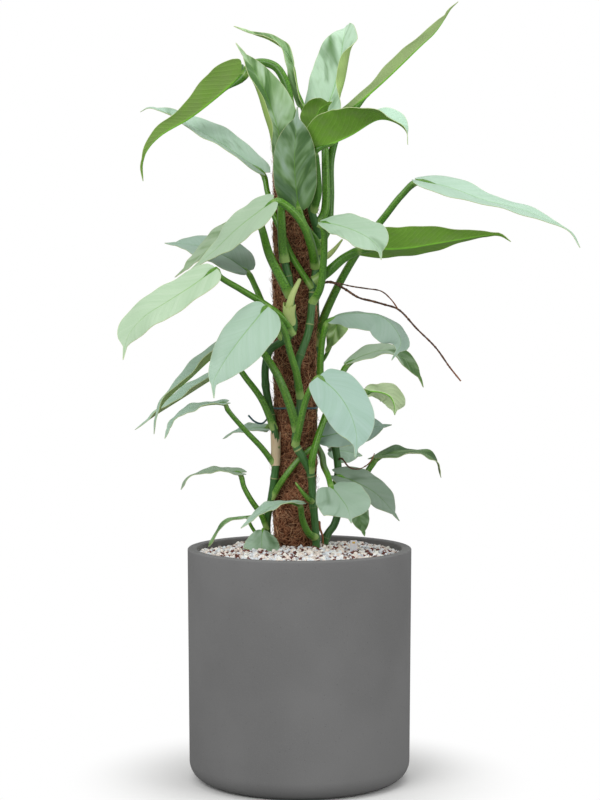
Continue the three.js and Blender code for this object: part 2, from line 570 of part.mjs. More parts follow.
// A leaf leans back, or forward where the lean is negative, more and more towards its tip.
// It moves along the lines of sight of the front view, and so keeps its outline there.
function leanedRoute(leaf) {
  const route = [...leaf.stalk, ...leaf.rib].map(vector);
  const walked = [0];
  for (let i = 1; i < route.length; i += 1) walked.push(walked[i - 1] + route[i].distanceTo(route[i - 1]));
  const total = walked[route.length - 1];
  route.forEach((point, i) => {
    const back = leaf.lean * Math.pow(walked[i] / total, 2);
    const farther = 1 + back / (FRONT_VIEW.distance + point.y);
    const rise = (point.z - FRONT_VIEW.height) * farther;
    point.set(point.x * farther, point.y + back, FRONT_VIEW.height + rise);
  });
  return { stalk: route.slice(0, leaf.stalk.length), rib: route.slice(leaf.stalk.length) };
}

// Half the width at a share of the way along: a heart-shaped base, then a long taper to a drip tip
function bladeHalfWidth(leaf, along) {
  if (along < leaf.peak) {
    const swell = Math.pow(Math.sin((Math.PI / 2) * (along / leaf.peak)), 0.6);
    return (leaf.width / 2) * (leaf.heel + (1 - leaf.heel) * swell);
  }
  const taper = Math.min((along - leaf.peak) / (BLADE.drip - leaf.peak), 1);
  const body = (leaf.width / 2) * Math.pow(1 - Math.pow(taper, leaf.fullness), 0.9);
  const dripShare = Math.min((1 - along) / (1 - BLADE.drip), 1);
  return Math.max(body, THREE.MathUtils.lerp(BLADE.tipHalf, BLADE.dripHalf, dripShare));
}

// A point of the blade's middle surface, along from 0 to 1 and across from -1 to 1
function bladePoint(leaf, curve, along, across) {
  const tangent = curve.getTangentAt(along);
  const face = vector(leaf.face);
  const up = face.addScaledVector(tangent, -face.dot(tangent)).normalize();
  const roll = THREE.MathUtils.degToRad(THREE.MathUtils.lerp(leaf.roll[0], leaf.roll[1], along * along));
  up.applyAxisAngle(tangent, roll);
  const side = tangent.clone().cross(up);
  const half = bladeHalfWidth(leaf, along) * leaf.halves[across < 0 ? 0 : 1];
  const reach = Math.abs(across);
  const open = Math.min(half / BLADE.openHalf, 1);
  const fold = THREE.MathUtils.degToRad(leaf.fold[across < 0 ? 0 : 1]) * open;
  const swing = Math.sin(2 * Math.PI * (BLADE.waves * along + BLADE.waveSlant * across));
  const ripple = leaf.wave * Math.min(half / BLADE.calmHalf, 1) * reach * swing;
  const lift = half * (reach * Math.sin(fold) - leaf.curl * reach * reach) + ripple;
  const behind = leaf.lobe * curve.getLength() * Math.pow(Math.max(1 - along / leaf.peak, 0), 2);
  const rounded = 2.6 * Math.pow(reach, 1.5) * (1 - 0.7 * reach * reach);
  return curve.getPointAt(along)
    .addScaledVector(side, half * across * Math.cos(fold))
    .addScaledVector(up, lift)
    .addScaledVector(curve.getTangentAt(0), -behind * rounded);
}

function vertexNormals(points, faces) {
  const normals = points.map(() => new THREE.Vector3());
  for (const [a, b, c] of faces) {
    const normal = points[b].clone().sub(points[a]).cross(points[c].clone().sub(points[a]));
    [a, b, c].forEach((corner) => normals[corner].add(normal));
  }
  return normals.map((normal) => normal.normalize());
}

function bladeGeometry(leaf, curve) {
  const stations = leaf.width < 60 ? NARROW_STATIONS : BLADE_STATIONS;
  const middle = stations.flatMap(
    (along) => BLADE_ACROSS.map((across) => bladePoint(leaf, curve, along, across)),
  );
  const width = BLADE_ACROSS.length;
  const rows = stations.length;
  const under = middle.length;
  const skin = [];
  for (let i = 0; i + 1 < rows; i += 1) {
    for (let j = 0; j + 1 < width; j += 1) {
      const a = i * width + j;
      const turned = j >= (width - 1) / 2;
      const split = turned
        ? [[a, a + 1, a + width + 1], [a, a + width + 1, a + width]]
        : [[a, a + 1, a + width], [a + 1, a + width + 1, a + width]];
      skin.push(...split);
    }
  }
  const normals = vertexNormals(middle, skin);
  const shifted = (shift) => middle.map((point, i) => point.clone().addScaledVector(normals[i], shift));
  const faces = skin.flatMap(([p, q, r]) => [[p, q, r], [under + p, under + r, under + q]]);
  const rim = [];
  for (let j = 0; j + 1 < width; j += 1) rim.push([j + 1, j]);
  for (let i = 0; i + 1 < rows; i += 1) rim.push([i * width, (i + 1) * width]);
  for (let j = 0; j + 1 < width; j += 1) rim.push([(rows - 1) * width + j, (rows - 1) * width + j + 1]);
  for (let i = rows - 1; i > 0; i -= 1) rim.push([(i + 1) * width - 1, i * width - 1]);
  rim.forEach(([p, q]) => faces.push([p, q, under + q], [p, under + q, under + p]));
  return closedGeometry([...shifted(BLADE.thickness / 2), ...shifted(-BLADE.thickness / 2)], faces);
}

// The stalk runs on under the blade as the thick start of its rib
function stalkGeometry(leaf, stalk, ribCurve) {
  const face = vector(leaf.face);
  const sunk = (along, depth) => {
    const tangent = ribCurve.getTangentAt(along);
    const up = face.clone().addScaledVector(tangent, -face.dot(tangent)).normalize();
    return ribCurve.getPointAt(along).addScaledVector(up, -depth);
  };
  const path = curveThrough([
    ...stalk,
    sunk(0, leaf.girth[1] * STALK.sink),
    sunk(BLADE.ribEnd, STALK.ribRadius * STALK.endSink),
  ]);
  const length = path.getLength();
  const joint = 1 - (BLADE.ribEnd * ribCurve.getLength()) / length;
  const steps = Math.max(Math.round((length * joint) / leaf.step), 2);
  const marks = [...evenMarks(steps).map((mark) => mark * joint), 1];
  const radiusAt = (mark) => {
    if (mark === 1) return STALK.ribRadius;
    if (mark === 0) return leaf.girth[0] * STALK.flare;
    return THREE.MathUtils.lerp(leaf.girth[0], leaf.girth[1], mark / joint);
  };
  return tube(path, radiusAt, STALK.sides, marks);
}

function leafSolid(settings) {
  const leaf = { ...LEAF, ...settings };
  const { stalk, rib } = leanedRoute(leaf);
  const ribCurve = curveThrough(rib);
  const whole = solidOf(bladeGeometry(leaf, ribCurve)).add(solidOf(stalkGeometry(leaf, stalk, ribCurve)));
  return largestPiece(whole.subtract(stemClearance[leaf.stem]));
}

for (const [name, settings] of Object.entries(LEAVES)) {
  addMesh(name, geometryOf(leafSolid(settings)), MATERIALS[settings.look]);
}

// New growth: spears and sheaths, each seated on its stem
const GROWTH = {
  new_shoot: { stem: 'left', look: 'pale', radii: [6.4, 2.6],
    path: [[-11, 7, 657], [-15, -4, 669], [-11, -10, 690], [1, -9, 716]] },
  sheath_upper_right: { stem: 'front', look: 'pale', radii: [5.5, 1.2],
    path: [[25, 20, 744], [40, 33, 749], [50, 38, 758], [62, 40, 773]] },
  young_shoot_low: { stem: 'front', look: 'green', radii: [4.5, 1.2],
    path: [[19, 14, 396], [14, 2, 400], [4, -6, 412], [-6, -7, 426]] },
};

for (const [name, { stem, look, radii, path }] of Object.entries(GROWTH)) {
  const radiusAt = (mark) => THREE.MathUtils.lerp(radii[0], radii[1], mark);
  const shape = tube(curveThrough(path.map(vector)), radiusAt, SPEAR.sides, evenMarks(SPEAR.steps));
  addMesh(name, geometryOf(largestPiece(solidOf(shape).subtract(stemClearance[stem]))), MATERIALS[look]);
}

// Aerial roots: thin, tapered and free at the end
const ROOTS = {
  root_upper: {
    stem: 'front', radii: [1.9, 1.1],
    path: [[20, 17, 697], [32, 26, 709], [46, 31, 711], [64, 32, 702], [85, 32, 689], [104, 32, 684],
      [122, 32, 679], [142, 32, 672], [169, 31, 644], [196, 29, 617], [216, 27, 589], [232, 26, 569]],
    branch: [[32, 26, 709], [46, 31, 711], [76, 36, 705], [96, 37, 702], [118, 36, 698], [132, 34, 686],
      [142, 32, 672]],
  },
  root_low: {
    stem: 'right', radii: [1.5, 0.7],
    path: [[56, 45, 453], [61, 30, 457], [72, 20, 445], [86, 19, 443], [101, 20, 452], [108, 22, 465]],
  },
};

for (const [name, { stem, radii, path, branch }] of Object.entries(ROOTS)) {
  const radiusAt = (mark) => THREE.MathUtils.lerp(radii[0], radii[1], mark);
  const main = tube(curveThrough(path.map(vector)), radiusAt, ROOT.sides, evenMarks(path.length + 2));
  let solid = solidOf(main);
  if (branch) {
    const curve = curveThrough(branch.map(vector));
    solid = solid.add(solidOf(tube(curve, () => radii[1], ROOT.sides, evenMarks(ROOT.branchSteps))));
  }
  addMesh(name, geometryOf(largestPiece(solid.subtract(stemClearance[stem]))), MATERIALS.root);
}

export default group;
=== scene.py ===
"""A potted silver queen philodendron on a coir pole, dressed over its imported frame.

Places and sizes in the lists below are in millimetres, in the frame's own axes. Meshes are made in metres.
"""
import math
import random
from dataclasses import dataclass

import bmesh
import bpy
import numpy as np
from bpy.props import FloatProperty, FloatVectorProperty, IntProperty, PointerProperty
from mathutils.bvhtree import BVHTree
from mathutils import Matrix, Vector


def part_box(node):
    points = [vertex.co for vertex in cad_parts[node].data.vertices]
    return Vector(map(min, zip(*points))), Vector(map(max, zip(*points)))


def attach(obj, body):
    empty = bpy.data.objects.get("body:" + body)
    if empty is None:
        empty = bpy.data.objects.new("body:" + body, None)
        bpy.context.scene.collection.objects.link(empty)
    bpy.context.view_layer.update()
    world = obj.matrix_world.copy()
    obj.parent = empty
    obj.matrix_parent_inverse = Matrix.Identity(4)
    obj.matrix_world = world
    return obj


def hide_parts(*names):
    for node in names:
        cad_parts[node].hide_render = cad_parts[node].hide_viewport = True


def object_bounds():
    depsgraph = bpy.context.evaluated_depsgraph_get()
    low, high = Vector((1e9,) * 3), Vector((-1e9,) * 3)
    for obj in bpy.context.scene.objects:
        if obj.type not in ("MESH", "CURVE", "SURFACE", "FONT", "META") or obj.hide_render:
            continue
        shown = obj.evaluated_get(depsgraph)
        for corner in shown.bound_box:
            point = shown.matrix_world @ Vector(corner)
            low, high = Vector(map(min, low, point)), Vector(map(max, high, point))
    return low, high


bl_info = {
    "name": "Potted silver queen philodendron",
    "version": (1, 0, 0),
    "blender": (4, 5, 0),
    "location": "3D view > Sidebar > Plant",
    "description": "Dresses the packed frame of a potted climbing philodendron",
    "category": "Object",
}

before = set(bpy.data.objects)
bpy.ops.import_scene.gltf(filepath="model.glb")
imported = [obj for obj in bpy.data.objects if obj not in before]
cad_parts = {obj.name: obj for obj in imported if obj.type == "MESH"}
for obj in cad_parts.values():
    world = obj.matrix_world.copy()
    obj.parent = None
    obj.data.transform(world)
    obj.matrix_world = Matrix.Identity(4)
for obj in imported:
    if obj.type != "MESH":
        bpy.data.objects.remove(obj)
CAD_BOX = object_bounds()
MM = 0.001
BODY = "root"


def span(node, axis):
    """Lowest and highest place of a frame node along one axis, in millimetres."""
    low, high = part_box(node)
    return low[axis] / MM, high[axis] / MM


def in_frame(name):
    """The name in a list, if the frame has a node of that name."""
    return [name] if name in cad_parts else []


# Sizes that the frame settles
POT_FOOT, POT_TOP = span("pot", 2)
POT_RADIUS = span("pot", 0)[1]
POLE_X = sum(span("pole_stake", 0)) / 2
POLE_Y = sum(span("pole_stake", 1)) / 2
POLE_TOP = span("pole_coir", 2)[1]
GAUGE_X = sum(span("level_gauge", 0)) / 2
GAUGE_Y = sum(span("level_gauge", 1)) / 2
GAUGE_TOP = span("level_gauge", 2)[1]

POT = {
    "wall": 14, "floor": 18, "foot_edge": 28, "lip_edge": 2.4, "foot_inset": 2, "sides": 160,
    "foot_steps": 18, "wall_steps": 24, "lip_steps": 6,
}
GRAVEL = {
    "radius": 143, "lowest": 309, "row": 0.866, "astray": 1.3, "sunk": 0.6, "proud": 1.3, "clear": 3,
}
GAUGE = {"width": 9.6, "depth": 6.6, "window": 58, "edge": 1.2, "clear_x": 8, "clear_y": 7}
GAUGE_MARK = {"width": 4.6, "depth": 7.6, "edge": 0.5, "below_top": ((4.2, 1.6), (17.5, 14.5))}
POLE = {
    "radius": 30, "mat_radius": 29.2, "bore": 12.4, "foot": 60, "rough": 0.55, "lump": 1.5,
    "sides": 90, "rings": 260,
}
FIBRES = {"reach": (9, 26), "stand": 2.4}
WISPS = {"reach": (10, 26), "stand": 7.5, "thin": 0.6}
STRAND = {
    "steps": 5, "sides": 3, "bend": 1.1, "bedding": 0.4, "thin": 0.6,
    "below_rim": 12, "slack": 2, "below_top": 3, "clear_top": 0.5,
}
TIE = {
    "height": 530, "radius": 32.8, "wire": 1.4, "steps": 96, "sides": 10, "end_steps": 30,
    "waver": 0.5, "hold": 6,
}
STEM = {"radius": 5.5, "swell": 0.14, "node_half": 4, "internode": 46, "tip": 0.7, "step": 3, "sides": 20}
STALK = {
    "sink": 0.6, "rib_end": 0.16, "rib_radius": 0.9, "rib_tip": 0.6, "step": 4, "rib_steps": 5, "sides": 20,
}
RIB = {"girth": 0.42, "taper": 0.8, "least_half": 0.35, "full_from": 6, "falls": 0.7, "groove": 0.35}
SHOOT = {"rings": 60, "blunt": 0.08, "sides": 18}
WRAP = {"rows": 24, "columns": 41, "thickness": 0.7}
ROOT = {"step": 2.5, "knots": 0.12, "sides": 10}

# Swellings of a leaf stalk: share of its radius, middle and reach along it. The first two are
# measured from the foot, and the knee from the blade.
STALK_FLARE = (0.15, 0, 9)
STALK_RING = (0.06, 12, 3)
STALK_KNEE = (0.1, -8, 5)

BLADE = {
    "drip": 0.9, "drip_half": 3, "tip_half": 0.5, "waves": 2.2, "wave_slant": 0.3,
    "calm_half": 12, "open_half": 8, "ruffle": 0.7, "ruffles": 5.3, "lobe_reach": 2.6,
}
SEEDS = {"gravel": 3, "leaves": 4, "coir": 7, "roots": 9}
FRONT_VIEW = {"distance": 2900, "height": 690, "pitch": 2.9, "aside": 0.7}
PHOTO_FOCAL_PX = 2036
PHOTO_LONG_SIDE_PX = 800
SENSOR_MM = 36

# Lamps: side of each square lamp and its place, in metres
LAMPS = {
    "key": (2.2, (-1.6, -2.4, 2.3)),
    "top": (2.0, (0.2, 0.1, 2.8)),
    "fill": (1.6, (2.3, -1.4, 1.2)),
}

# Gravel grains: share of each kind, least and most width as shares of the set width, and chipped or not
GRAINS = {
    "cream": (0.37, (0.72, 1.12), False),
    "ice": (0.35, (0.8, 1.25), True),
    "maroon": (0.28, (0.6, 1.0), True),
}
GRAIN = {"stretch": (0.75, 1.15), "chips": 5, "chip_from": (0.45, 0.7), "rough": 0.08, "crease": 25}


def linear(code):
    """A colour as the shader wants it, from its six-digit code."""
    channels = (int(code[i:i + 2], 16) / 255 for i in (1, 3, 5))
    return tuple(c / 12.92 if c <= 0.04045 else ((c + 0.055) / 1.055) ** 2.4 for c in channels)


def scaled(colour, share, lift=0.0):
    """A colour made darker or lighter by a share, kept within one."""
    return tuple(min(channel * share + lift, 1) for channel in colour)


# Leaves
@dataclass
class Leaf:
    """One leaf: its stalk and rib in millimetres, how its blade lies, and how it is coloured.

    face is the way the upper side looks, and lean how far the tip lies back from the front view.
    halves makes either half of the blade wider or narrower, and fold raises it in degrees. roll turns
    the blade about its rib, from base to tip, curl bends its edges down and wave ripples them.
    lobe, heel, peak and fullness shape the outline: how far the heart-shaped base reaches back, its
    share of the width, where the blade is widest, and how long it stays so. girth is the stalk's
    radius at foot and top. rolled lists edges that bend over: side, first and last share of the
    length, and degrees.

    bloom is the silver share of the upper side and fade how much that gains by the tip. tone is the
    lightness, partly the leaf's own and partly painted shade and light for where the leaf lies; warm is
    the share of yellow, or of blue below 0, and under how green the underside is.
    """
    stem: str
    width: float
    face: tuple
    stalk: list
    rib: list
    halves: tuple = (1, 1)
    fold: tuple = (15, 15)
    roll: tuple = (0, 0)
    curl: float = 0.1
    wave: float = 2
    lobe: float = 0.1
    heel: float = 0.3
    peak: float = 0.3
    fullness: float = 2.3
    girth: tuple = (5.2, 4)
    lean: float = 0
    bloom: float = 0.8
    fade: float = 0
    tone: float = 0
    warm: float = 0
    under: float = 0.3
    rolled: tuple = ()


LEAVES = {
    # Crown
    "leaf_crown_arching": Leaf(
        stem="front", width=76, face=(-0.45, 0.55, 0.7), lean=50, fold=(50, 70), lobe=0.05,
        heel=0.7, peak=0.12, fullness=1, girth=(7.2, 5.6), bloom=0.45, warm=0.3, under=0.85, tone=0.08,
        stalk=[(13, 8, 840), (4, 4, 862), (-5, 6, 900), (-12, 12, 952), (-21, 20, 997), (-35, 24, 1018),
               (-55, 26, 1024), (-71, 25, 1019)],
        rib=[(-81, 24, 1006), (-115, 18, 976), (-154, 12, 945), (-198, 8, 918), (-217, 6, 897),
             (-224, 4, 876), (-222, 2, 854)]),
    "leaf_crown_upright": Leaf(
        stem="left", width=66, face=(0.15, -0.95, 0.2), fold=(34, 10), peak=0.35, fullness=1.7,
        girth=(7, 4.6), bloom=0.5, tone=0.06, warm=0.5, rolled=((-1, 0, 0.8, 130),), under=0.7,
        stalk=[(-21, 5, 740), (-24, -2, 765), (-26, -6, 827), (-23, -6, 866)],
        rib=[(-22, -6, 883), (-32, -6, 931), (-50, -8, 982), (-70, -8, 1019), (-90, -4, 1048)]),
    "leaf_crown_rolled": Leaf(
        stem="front", width=26, face=(-0.5, -0.3, 0.8), lean=30, fold=(60, 60), wave=0, lobe=0.02,
        girth=(4.6, 4), bloom=0.5, warm=0.6, under=0.7, tone=0.14,
        stalk=[(9, 8, 889), (11, 14, 920), (7, 23, 955)],
        rib=[(2, 26, 964), (-4, 28, 994), (-8, 30, 1018), (-19, 32, 1040), (-41, 34, 1056),
             (-67, 36, 1066), (-94, 38, 1077)]),
    "leaf_crown_broad": Leaf(
        stem="front", width=84, face=(-0.35, -0.9, 0.3), halves=(0.97, 1.08), fold=(10, 38),
        curl=0.15, heel=0.85, fullness=2.4, girth=(6.4, 4.6), bloom=0.68, tone=0.2, warm=0.25,
        rolled=((1, 0.02, 0.66, 150),), under=0.6,
        stalk=[(25, 19, 790), (36, 17, 812), (37, 22, 880), (36, 30, 940)],
        rib=[(39, 34, 960), (48, 36, 983), (54, 39, 1006), (59, 43, 1030), (62, 48, 1051), (65, 58, 1070),
             (68, 74, 1081), (69, 90, 1085)]),
    "leaf_crown_long": Leaf(
        stem="front", width=32, face=(-0.6, 0.4, 0.7), lean=-70, halves=(0.7, 1), fold=(55, 58),
        heel=0.5, peak=0.62, fullness=2, girth=(6.6, 4.8), bloom=0.5, under=0.45, tone=0.13,
        stalk=[(28, 23, 766), (40, 36, 788), (44, 40, 830), (45, 42, 887), (55, 46, 927), (63, 48, 950)],
        rib=[(74, 49, 959), (83, 50, 966), (113, 52, 992), (145, 54, 1022), (177, 57, 1053),
             (194, 58, 1069), (207, 59, 1087), (217, 60, 1104), (229, 60, 1115)]),
    "leaf_crown_cupped": Leaf(
        stem="front", width=96, face=(-0.1, 0.92, 0.35), lean=-55, halves=(0.62, 1), fold=(68, 10),
        roll=(0, 130), lobe=0.06, heel=0.4, peak=0.2, fullness=2.8, girth=(6, 4.6), bloom=0.95,
        under=1, tone=0.15,
        stalk=[(19, 13, 812), (26, -4, 835), (25, -18, 865), (23, -26, 884)],
        rib=[(22, -26, 895), (71, -30, 916), (111, -34, 938), (133, -38, 934), (149, -42, 921),
             (151, -46, 902)]),
    "leaf_crown_small": Leaf(
        stem="front", width=48, face=(0.2, 0.8, 0.5), lobe=0.04, heel=0.4, girth=(3.4, 3),
        tone=-0.3, warm=0.4, under=1,
        stalk=[(10, 7, 875), (18, 0, 889), (19, -4, 908)],
        rib=[(19, -4, 928), (29, -2, 955), (46, 2, 966)]),
    "leaf_crown_front": Leaf(
        stem="front", width=62, face=(0.05, -1, 0.15), fold=(12, 12), lobe=0.04, peak=0.28,
        fullness=3.4, girth=(5.6, 4.2), bloom=0.42, fade=0.15, tone=-0.28, warm=0.05,
        stalk=[(26, 21, 752), (24, 6, 768), (8, -12, 790)],
        rib=[(-2, -20, 818), (-7, -44, 874), (-3, -52, 954)]),
    # Upper leaves
    "leaf_upper_far_left": Leaf(
        stem="front", width=60, face=(0.2, -0.45, 0.85), lean=45, fold=(25, 25), lobe=0.03,
        girth=(4.4, 3.8), bloom=0.75, tone=-0.03,
        stalk=[(18, 15, 703), (5, 9, 722), (-12, 10, 750), (-24, 12, 778), (-36, 22, 805), (-46, 30, 840)],
        rib=[(-52, 34, 868), (-122, 50, 916), (-217, 70, 964), (-231, 72, 958)]),
    "leaf_upper_left_front": Leaf(
        stem="front", width=68, face=(-0.35, -0.6, 0.7), lean=-35, halves=(1.45, 0.85), lobe=0.05,
        peak=0.2, fullness=1.7, girth=(7, 4.8), bloom=0.85, tone=-0.1, warm=0.55,
        stalk=[(23, 18, 734), (16, -14, 765), (4, -36, 793), (-12, -46, 812), (-30, -50, 823)],
        rib=[(-39, -48, 822), (-86, -30, 787), (-121, -10, 755), (-157, 4, 727)]),
    "leaf_upper_left_behind": Leaf(
        stem="left", width=60, face=(-0.3, -0.5, 0.8), lean=15, girth=(7.4, 5), bloom=0.6,
        tone=-0.2, warm=0.7,
        stalk=[(-13, 6, 692), (-26, -4, 716), (-43, -6, 750), (-53, 4, 785)],
        rib=[(-62, 14, 805), (-114, 26, 771), (-179, 28, 718)]),
    "leaf_upper_left_dark": Leaf(
        stem="left", width=66, face=(0.1, -0.75, 0.65), lean=60, halves=(1.3, 1), fold=(30, 12),
        lobe=0.03, peak=0.25, tone=-0.25, warm=-0.1,
        stalk=[(-23, 11, 628), (-36, 18, 650), (-52, 30, 678), (-63, 42, 703)],
        rib=[(-75, 51, 727), (-107, 60, 748), (-149, 66, 764), (-196, 70, 768)]),
    "leaf_upper_right_long": Leaf(
        stem="back", width=70, face=(0.1, -0.4, 0.9), lean=-60, halves=(0.85, 1.45), lobe=0.02,
        peak=0.15, fullness=1.2, girth=(6.6, 4.6), bloom=0.9, fade=-0.2, tone=0.04,
        stalk=[(23, 82, 620), (36, 72, 662), (44, 68, 681), (58, 62, 710), (76, 56, 742), (96, 51, 772),
               (123, 44, 806), (147, 39, 836)],
        rib=[(169, 36, 857), (216, 30, 846), (265, 22, 828), (315, 16, 815), (357, 12, 798),
             (388, 10, 781), (400, 10, 760)]),
    "leaf_upper_right_front": Leaf(
        stem="front", width=60, face=(-0.1, -0.6, 0.8), lean=-45, lobe=0.05, heel=0.12, peak=0.52,
        fullness=4, girth=(6, 4.4), warm=0.3,
        stalk=[(18, 16, 682), (29, 4, 702), (34, -2, 740), (35, -8, 780)],
        rib=[(33, -12, 795), (54, -18, 791), (77, -25, 783), (99, -30, 771), (112, -32, 757),
             (115, -30, 742)]),
    "leaf_upper_right_dark": Leaf(
        stem="front", width=74, face=(0.05, 0.6, 0.8), lean=10, fold=(22, 40), lobe=0.05, heel=0.4,
        peak=0.2, fullness=1.3, girth=(7.4, 5.4), tone=0.12, under=1,
        stalk=[(21, 17, 712), (40, 14, 725), (65, 14, 746)],
        rib=[(88, 14, 759), (129, 17, 758), (158, 18, 760), (194, 20, 766), (230, 22, 772),
             (266, 24, 778), (287, 26, 779), (303, 27, 769)]),
    # Middle leaves
    "leaf_middle_left_pale": Leaf(
        stem="left", width=57, face=(-0.35, -0.75, 0.55), lean=-95, halves=(1.05, 1),
        fold=(10, 10), lobe=0, heel=0.25, peak=0.16, fullness=8, tone=-0.03, warm=0.6, bloom=0.95,
        stalk=[(-9, 7, 637), (-22, -4, 658), (-47, -12, 678), (-84, -28, 701), (-112, -44, 719)],
        rib=[(-117, -49, 730), (-146, -54, 708), (-183, -57, 684), (-218, -57, 661), (-240, -54, 634),
             (-247, -50, 602)]),
    "leaf_middle_front": Leaf(
        stem="front", width=72, face=(-0.15, -0.95, 0.3), lean=-50, halves=(1.12, 0.82),
        fold=(8, 8), curl=0.15, lobe=0, heel=0.35, peak=0.22, fullness=2.7, bloom=0.95, tone=-0.03,
        stalk=[(1, 7, 546), (-4, -8, 579), (-14, -22, 614), (-22, -32, 643), (-35, -39, 664)],
        rib=[(-46, -43, 677), (-61, -50, 658), (-86, -56, 627), (-108, -54, 595), (-120, -52, 571),
             (-120, -50, 548)]),
    "leaf_middle_left_folded": Leaf(
        stem="front", width=40, face=(-0.6, -0.35, 0.7), fold=(45, 45), fullness=1.8,
        girth=(6.4, 4.6), tone=-0.1, under=0.6,
        stalk=[(-3, 0, 497), (-12, -10, 530), (-28, -14, 572), (-48, -12, 606), (-70, -6, 633)],
        rib=[(-85, -2, 639), (-110, -1, 616), (-135, 0, 594), (-156, 1, 574), (-178, 2, 555),
             (-196, 3, 536), (-205, 4, 517), (-208, 4, 494)]),
    "leaf_middle_left_narrow": Leaf(
        stem="left", width=36, face=(-0.6, -0.3, 0.75), lean=50, fold=(35, 35), tone=-0.08,
        under=0.4,
        stalk=[(-36, 22, 499), (-54, 20, 542), (-75, 22, 571), (-90, 26, 588)],
        rib=[(-104, 30, 586), (-136, 33, 566), (-173, 36, 542), (-209, 38, 519), (-238, 40, 498)]),
    "leaf_middle_right_arching": Leaf(
        stem="front", width=37, face=(0, -0.3, 0.95), lean=50, roll=(0, 65), lobe=0.03, fullness=3,
        fade=-0.55, tone=-0.08, warm=0.5,
        stalk=[(16, 9, 440), (19, -6, 463), (26, -5, 489), (35, 0, 515), (48, 10, 550), (60, 17, 578)],
        rib=[(69, 20, 595), (98, 22, 608), (127, 24, 613), (146, 25, 604), (162, 26, 589), (173, 26, 574),
             (178, 26, 560)]),
    "leaf_middle_right_hooded": Leaf(
        stem="right", width=58, face=(0.2, -0.6, 0.75), lean=-35, fold=(-30, -30), curl=0.05,
        lobe=0, heel=0.05, peak=0.6, fullness=3, bloom=0.9, tone=-0.31, warm=-0.1,
        stalk=[(32, 33, 559), (30, 28, 582), (32, 24, 621), (35, 20, 638)],
        rib=[(39, 18, 655), (58, 14, 665), (86, 6, 667), (115, 0, 663), (134, -6, 647), (144, -8, 625),
             (131, -8, 600)]),
    "leaf_middle_right_young": Leaf(
        stem="back", width=36, face=(0.2, -0.8, 0.4), lean=20, fold=(10, 10), lobe=0, heel=0.6,
        peak=0.1, fullness=1, girth=(3, 2.4), bloom=0.45, tone=0.25, warm=1.2,
        stalk=[(22, 82, 583), (36, 80, 600), (46, 78, 620), (53, 74, 638), (56, 67, 649)],
        rib=[(55, 58, 652), (49, 54, 633), (38, 52, 609)]),
    # Low leaves
    "leaf_low_left_drooping": Leaf(
        stem="left", width=30, face=(-0.15, -0.2, 0.95), lean=-30, lobe=0.06, heel=0.4,
        girth=(4.6, 3.4), tone=-0.12, under=0.5,
        stalk=[(-35, 21, 448), (-54, 10, 474), (-78, 4, 500), (-103, 2, 530)],
        rib=[(-106, 2, 539), (-138, 0, 535), (-166, -2, 524), (-183, -3, 510), (-192, -4, 488)]),
    "leaf_low_back_left": Leaf(
        stem="back", width=26, face=(-0.2, -0.45, 0.85), lean=50, peak=0.25, fullness=1.2,
        tone=-0.05,
        stalk=[(20, 85, 492), (-5, 94, 497), (-30, 88, 501), (-44, 80, 501)],
        rib=[(-49, 74, 498), (-72, 72, 498), (-93, 70, 494), (-112, 66, 483)]),
    "leaf_low_left_edge": Leaf(
        stem="left", width=26, face=(0.1, -0.3, 0.95), lean=20, peak=0.12, fullness=1.3,
        girth=(4.4, 3.4), tone=-0.32, warm=0.5, under=0.6,
        stalk=[(-47, 43, 354), (-56, 32, 376), (-70, 22, 398), (-80, 18, 417)],
        rib=[(-86, 16, 438), (-111, 14, 441), (-137, 12, 439), (-160, 10, 431), (-170, 8, 414)]),
    "leaf_low_left_thin": Leaf(
        stem="left", width=9, face=(-0.2, -0.5, 0.8), lean=-6, girth=(3, 2.2), bloom=0.4,
        tone=-0.1,
        stalk=[(-47, 44, 339), (-60, 50, 343), (-67, 52, 351), (-73, 50, 362)],
        rib=[(-76, 50, 370), (-108, 52, 363), (-133, 54, 326)]),
    "leaf_on_gravel": Leaf(
        stem="left", width=52, face=(0, -0.9, 0.35), wave=1, lobe=0, heel=0.15, peak=0.74,
        fullness=3, girth=(3.2, 2.4), bloom=0.62, tone=-0.25, warm=0.2, fold=(6, 6), curl=0.03,
        stalk=[(-47, 44, 340), (-48, 32, 350), (-51, 24, 355)],
        rib=[(-53, 15, 355), (-54, 9, 346), (-54, -4, 335), (-55, -20, 323)]),
    "leaf_low_front_narrow": Leaf(
        stem="front", width=27, face=(-0.2, -0.3, 0.95), lean=-50, heel=0.2, peak=0.4,
        girth=(5.6, 3.6), tone=-0.14,
        stalk=[(23, 18, 344), (13, 2, 352), (4, -6, 373), (1, -10, 392)],
        rib=[(-1, -12, 397), (-25, -18, 397), (-48, -24, 389), (-67, -28, 376), (-83, -32, 363)]),
    "leaf_low_front_broad": Leaf(
        stem="front", width=70, face=(0.15, -0.95, 0.3), lean=-50, fold=(8, 8), curl=0.15, lobe=0,
        heel=0.5, peak=0.36, fullness=3, bloom=1, tone=-0.1, warm=-0.35,
        stalk=[(-6, -3, 478), (0, -20, 506), (10, -28, 547), (20, -30, 568)],
        rib=[(27, -32, 578), (53, -42, 555), (71, -50, 527), (80, -54, 494), (78, -54, 465)]),
    "leaf_low_behind_broad": Leaf(
        stem="left", width=48, face=(0.1, -0.9, 0.4), lean=15, lobe=0.04, heel=0.4, peak=0.4,
        fullness=2.5, girth=(4.6, 3.6), tone=-0.36, warm=-0.2,
        stalk=[(-40, 28, 400), (-24, 13, 428), (-2, 12, 456), (14, 13, 471), (26, 12, 480)],
        rib=[(29, 12, 489), (65, 9, 497), (101, 7, 503), (132, 8, 507)]),
    "leaf_low_right_hanging": Leaf(
        stem="right", width=40, face=(0.2, 0.7, 0.6), lean=50, lobe=0.04, heel=0.35, peak=0.5,
        fullness=4, tone=0.7, under=0, warm=-0.6,
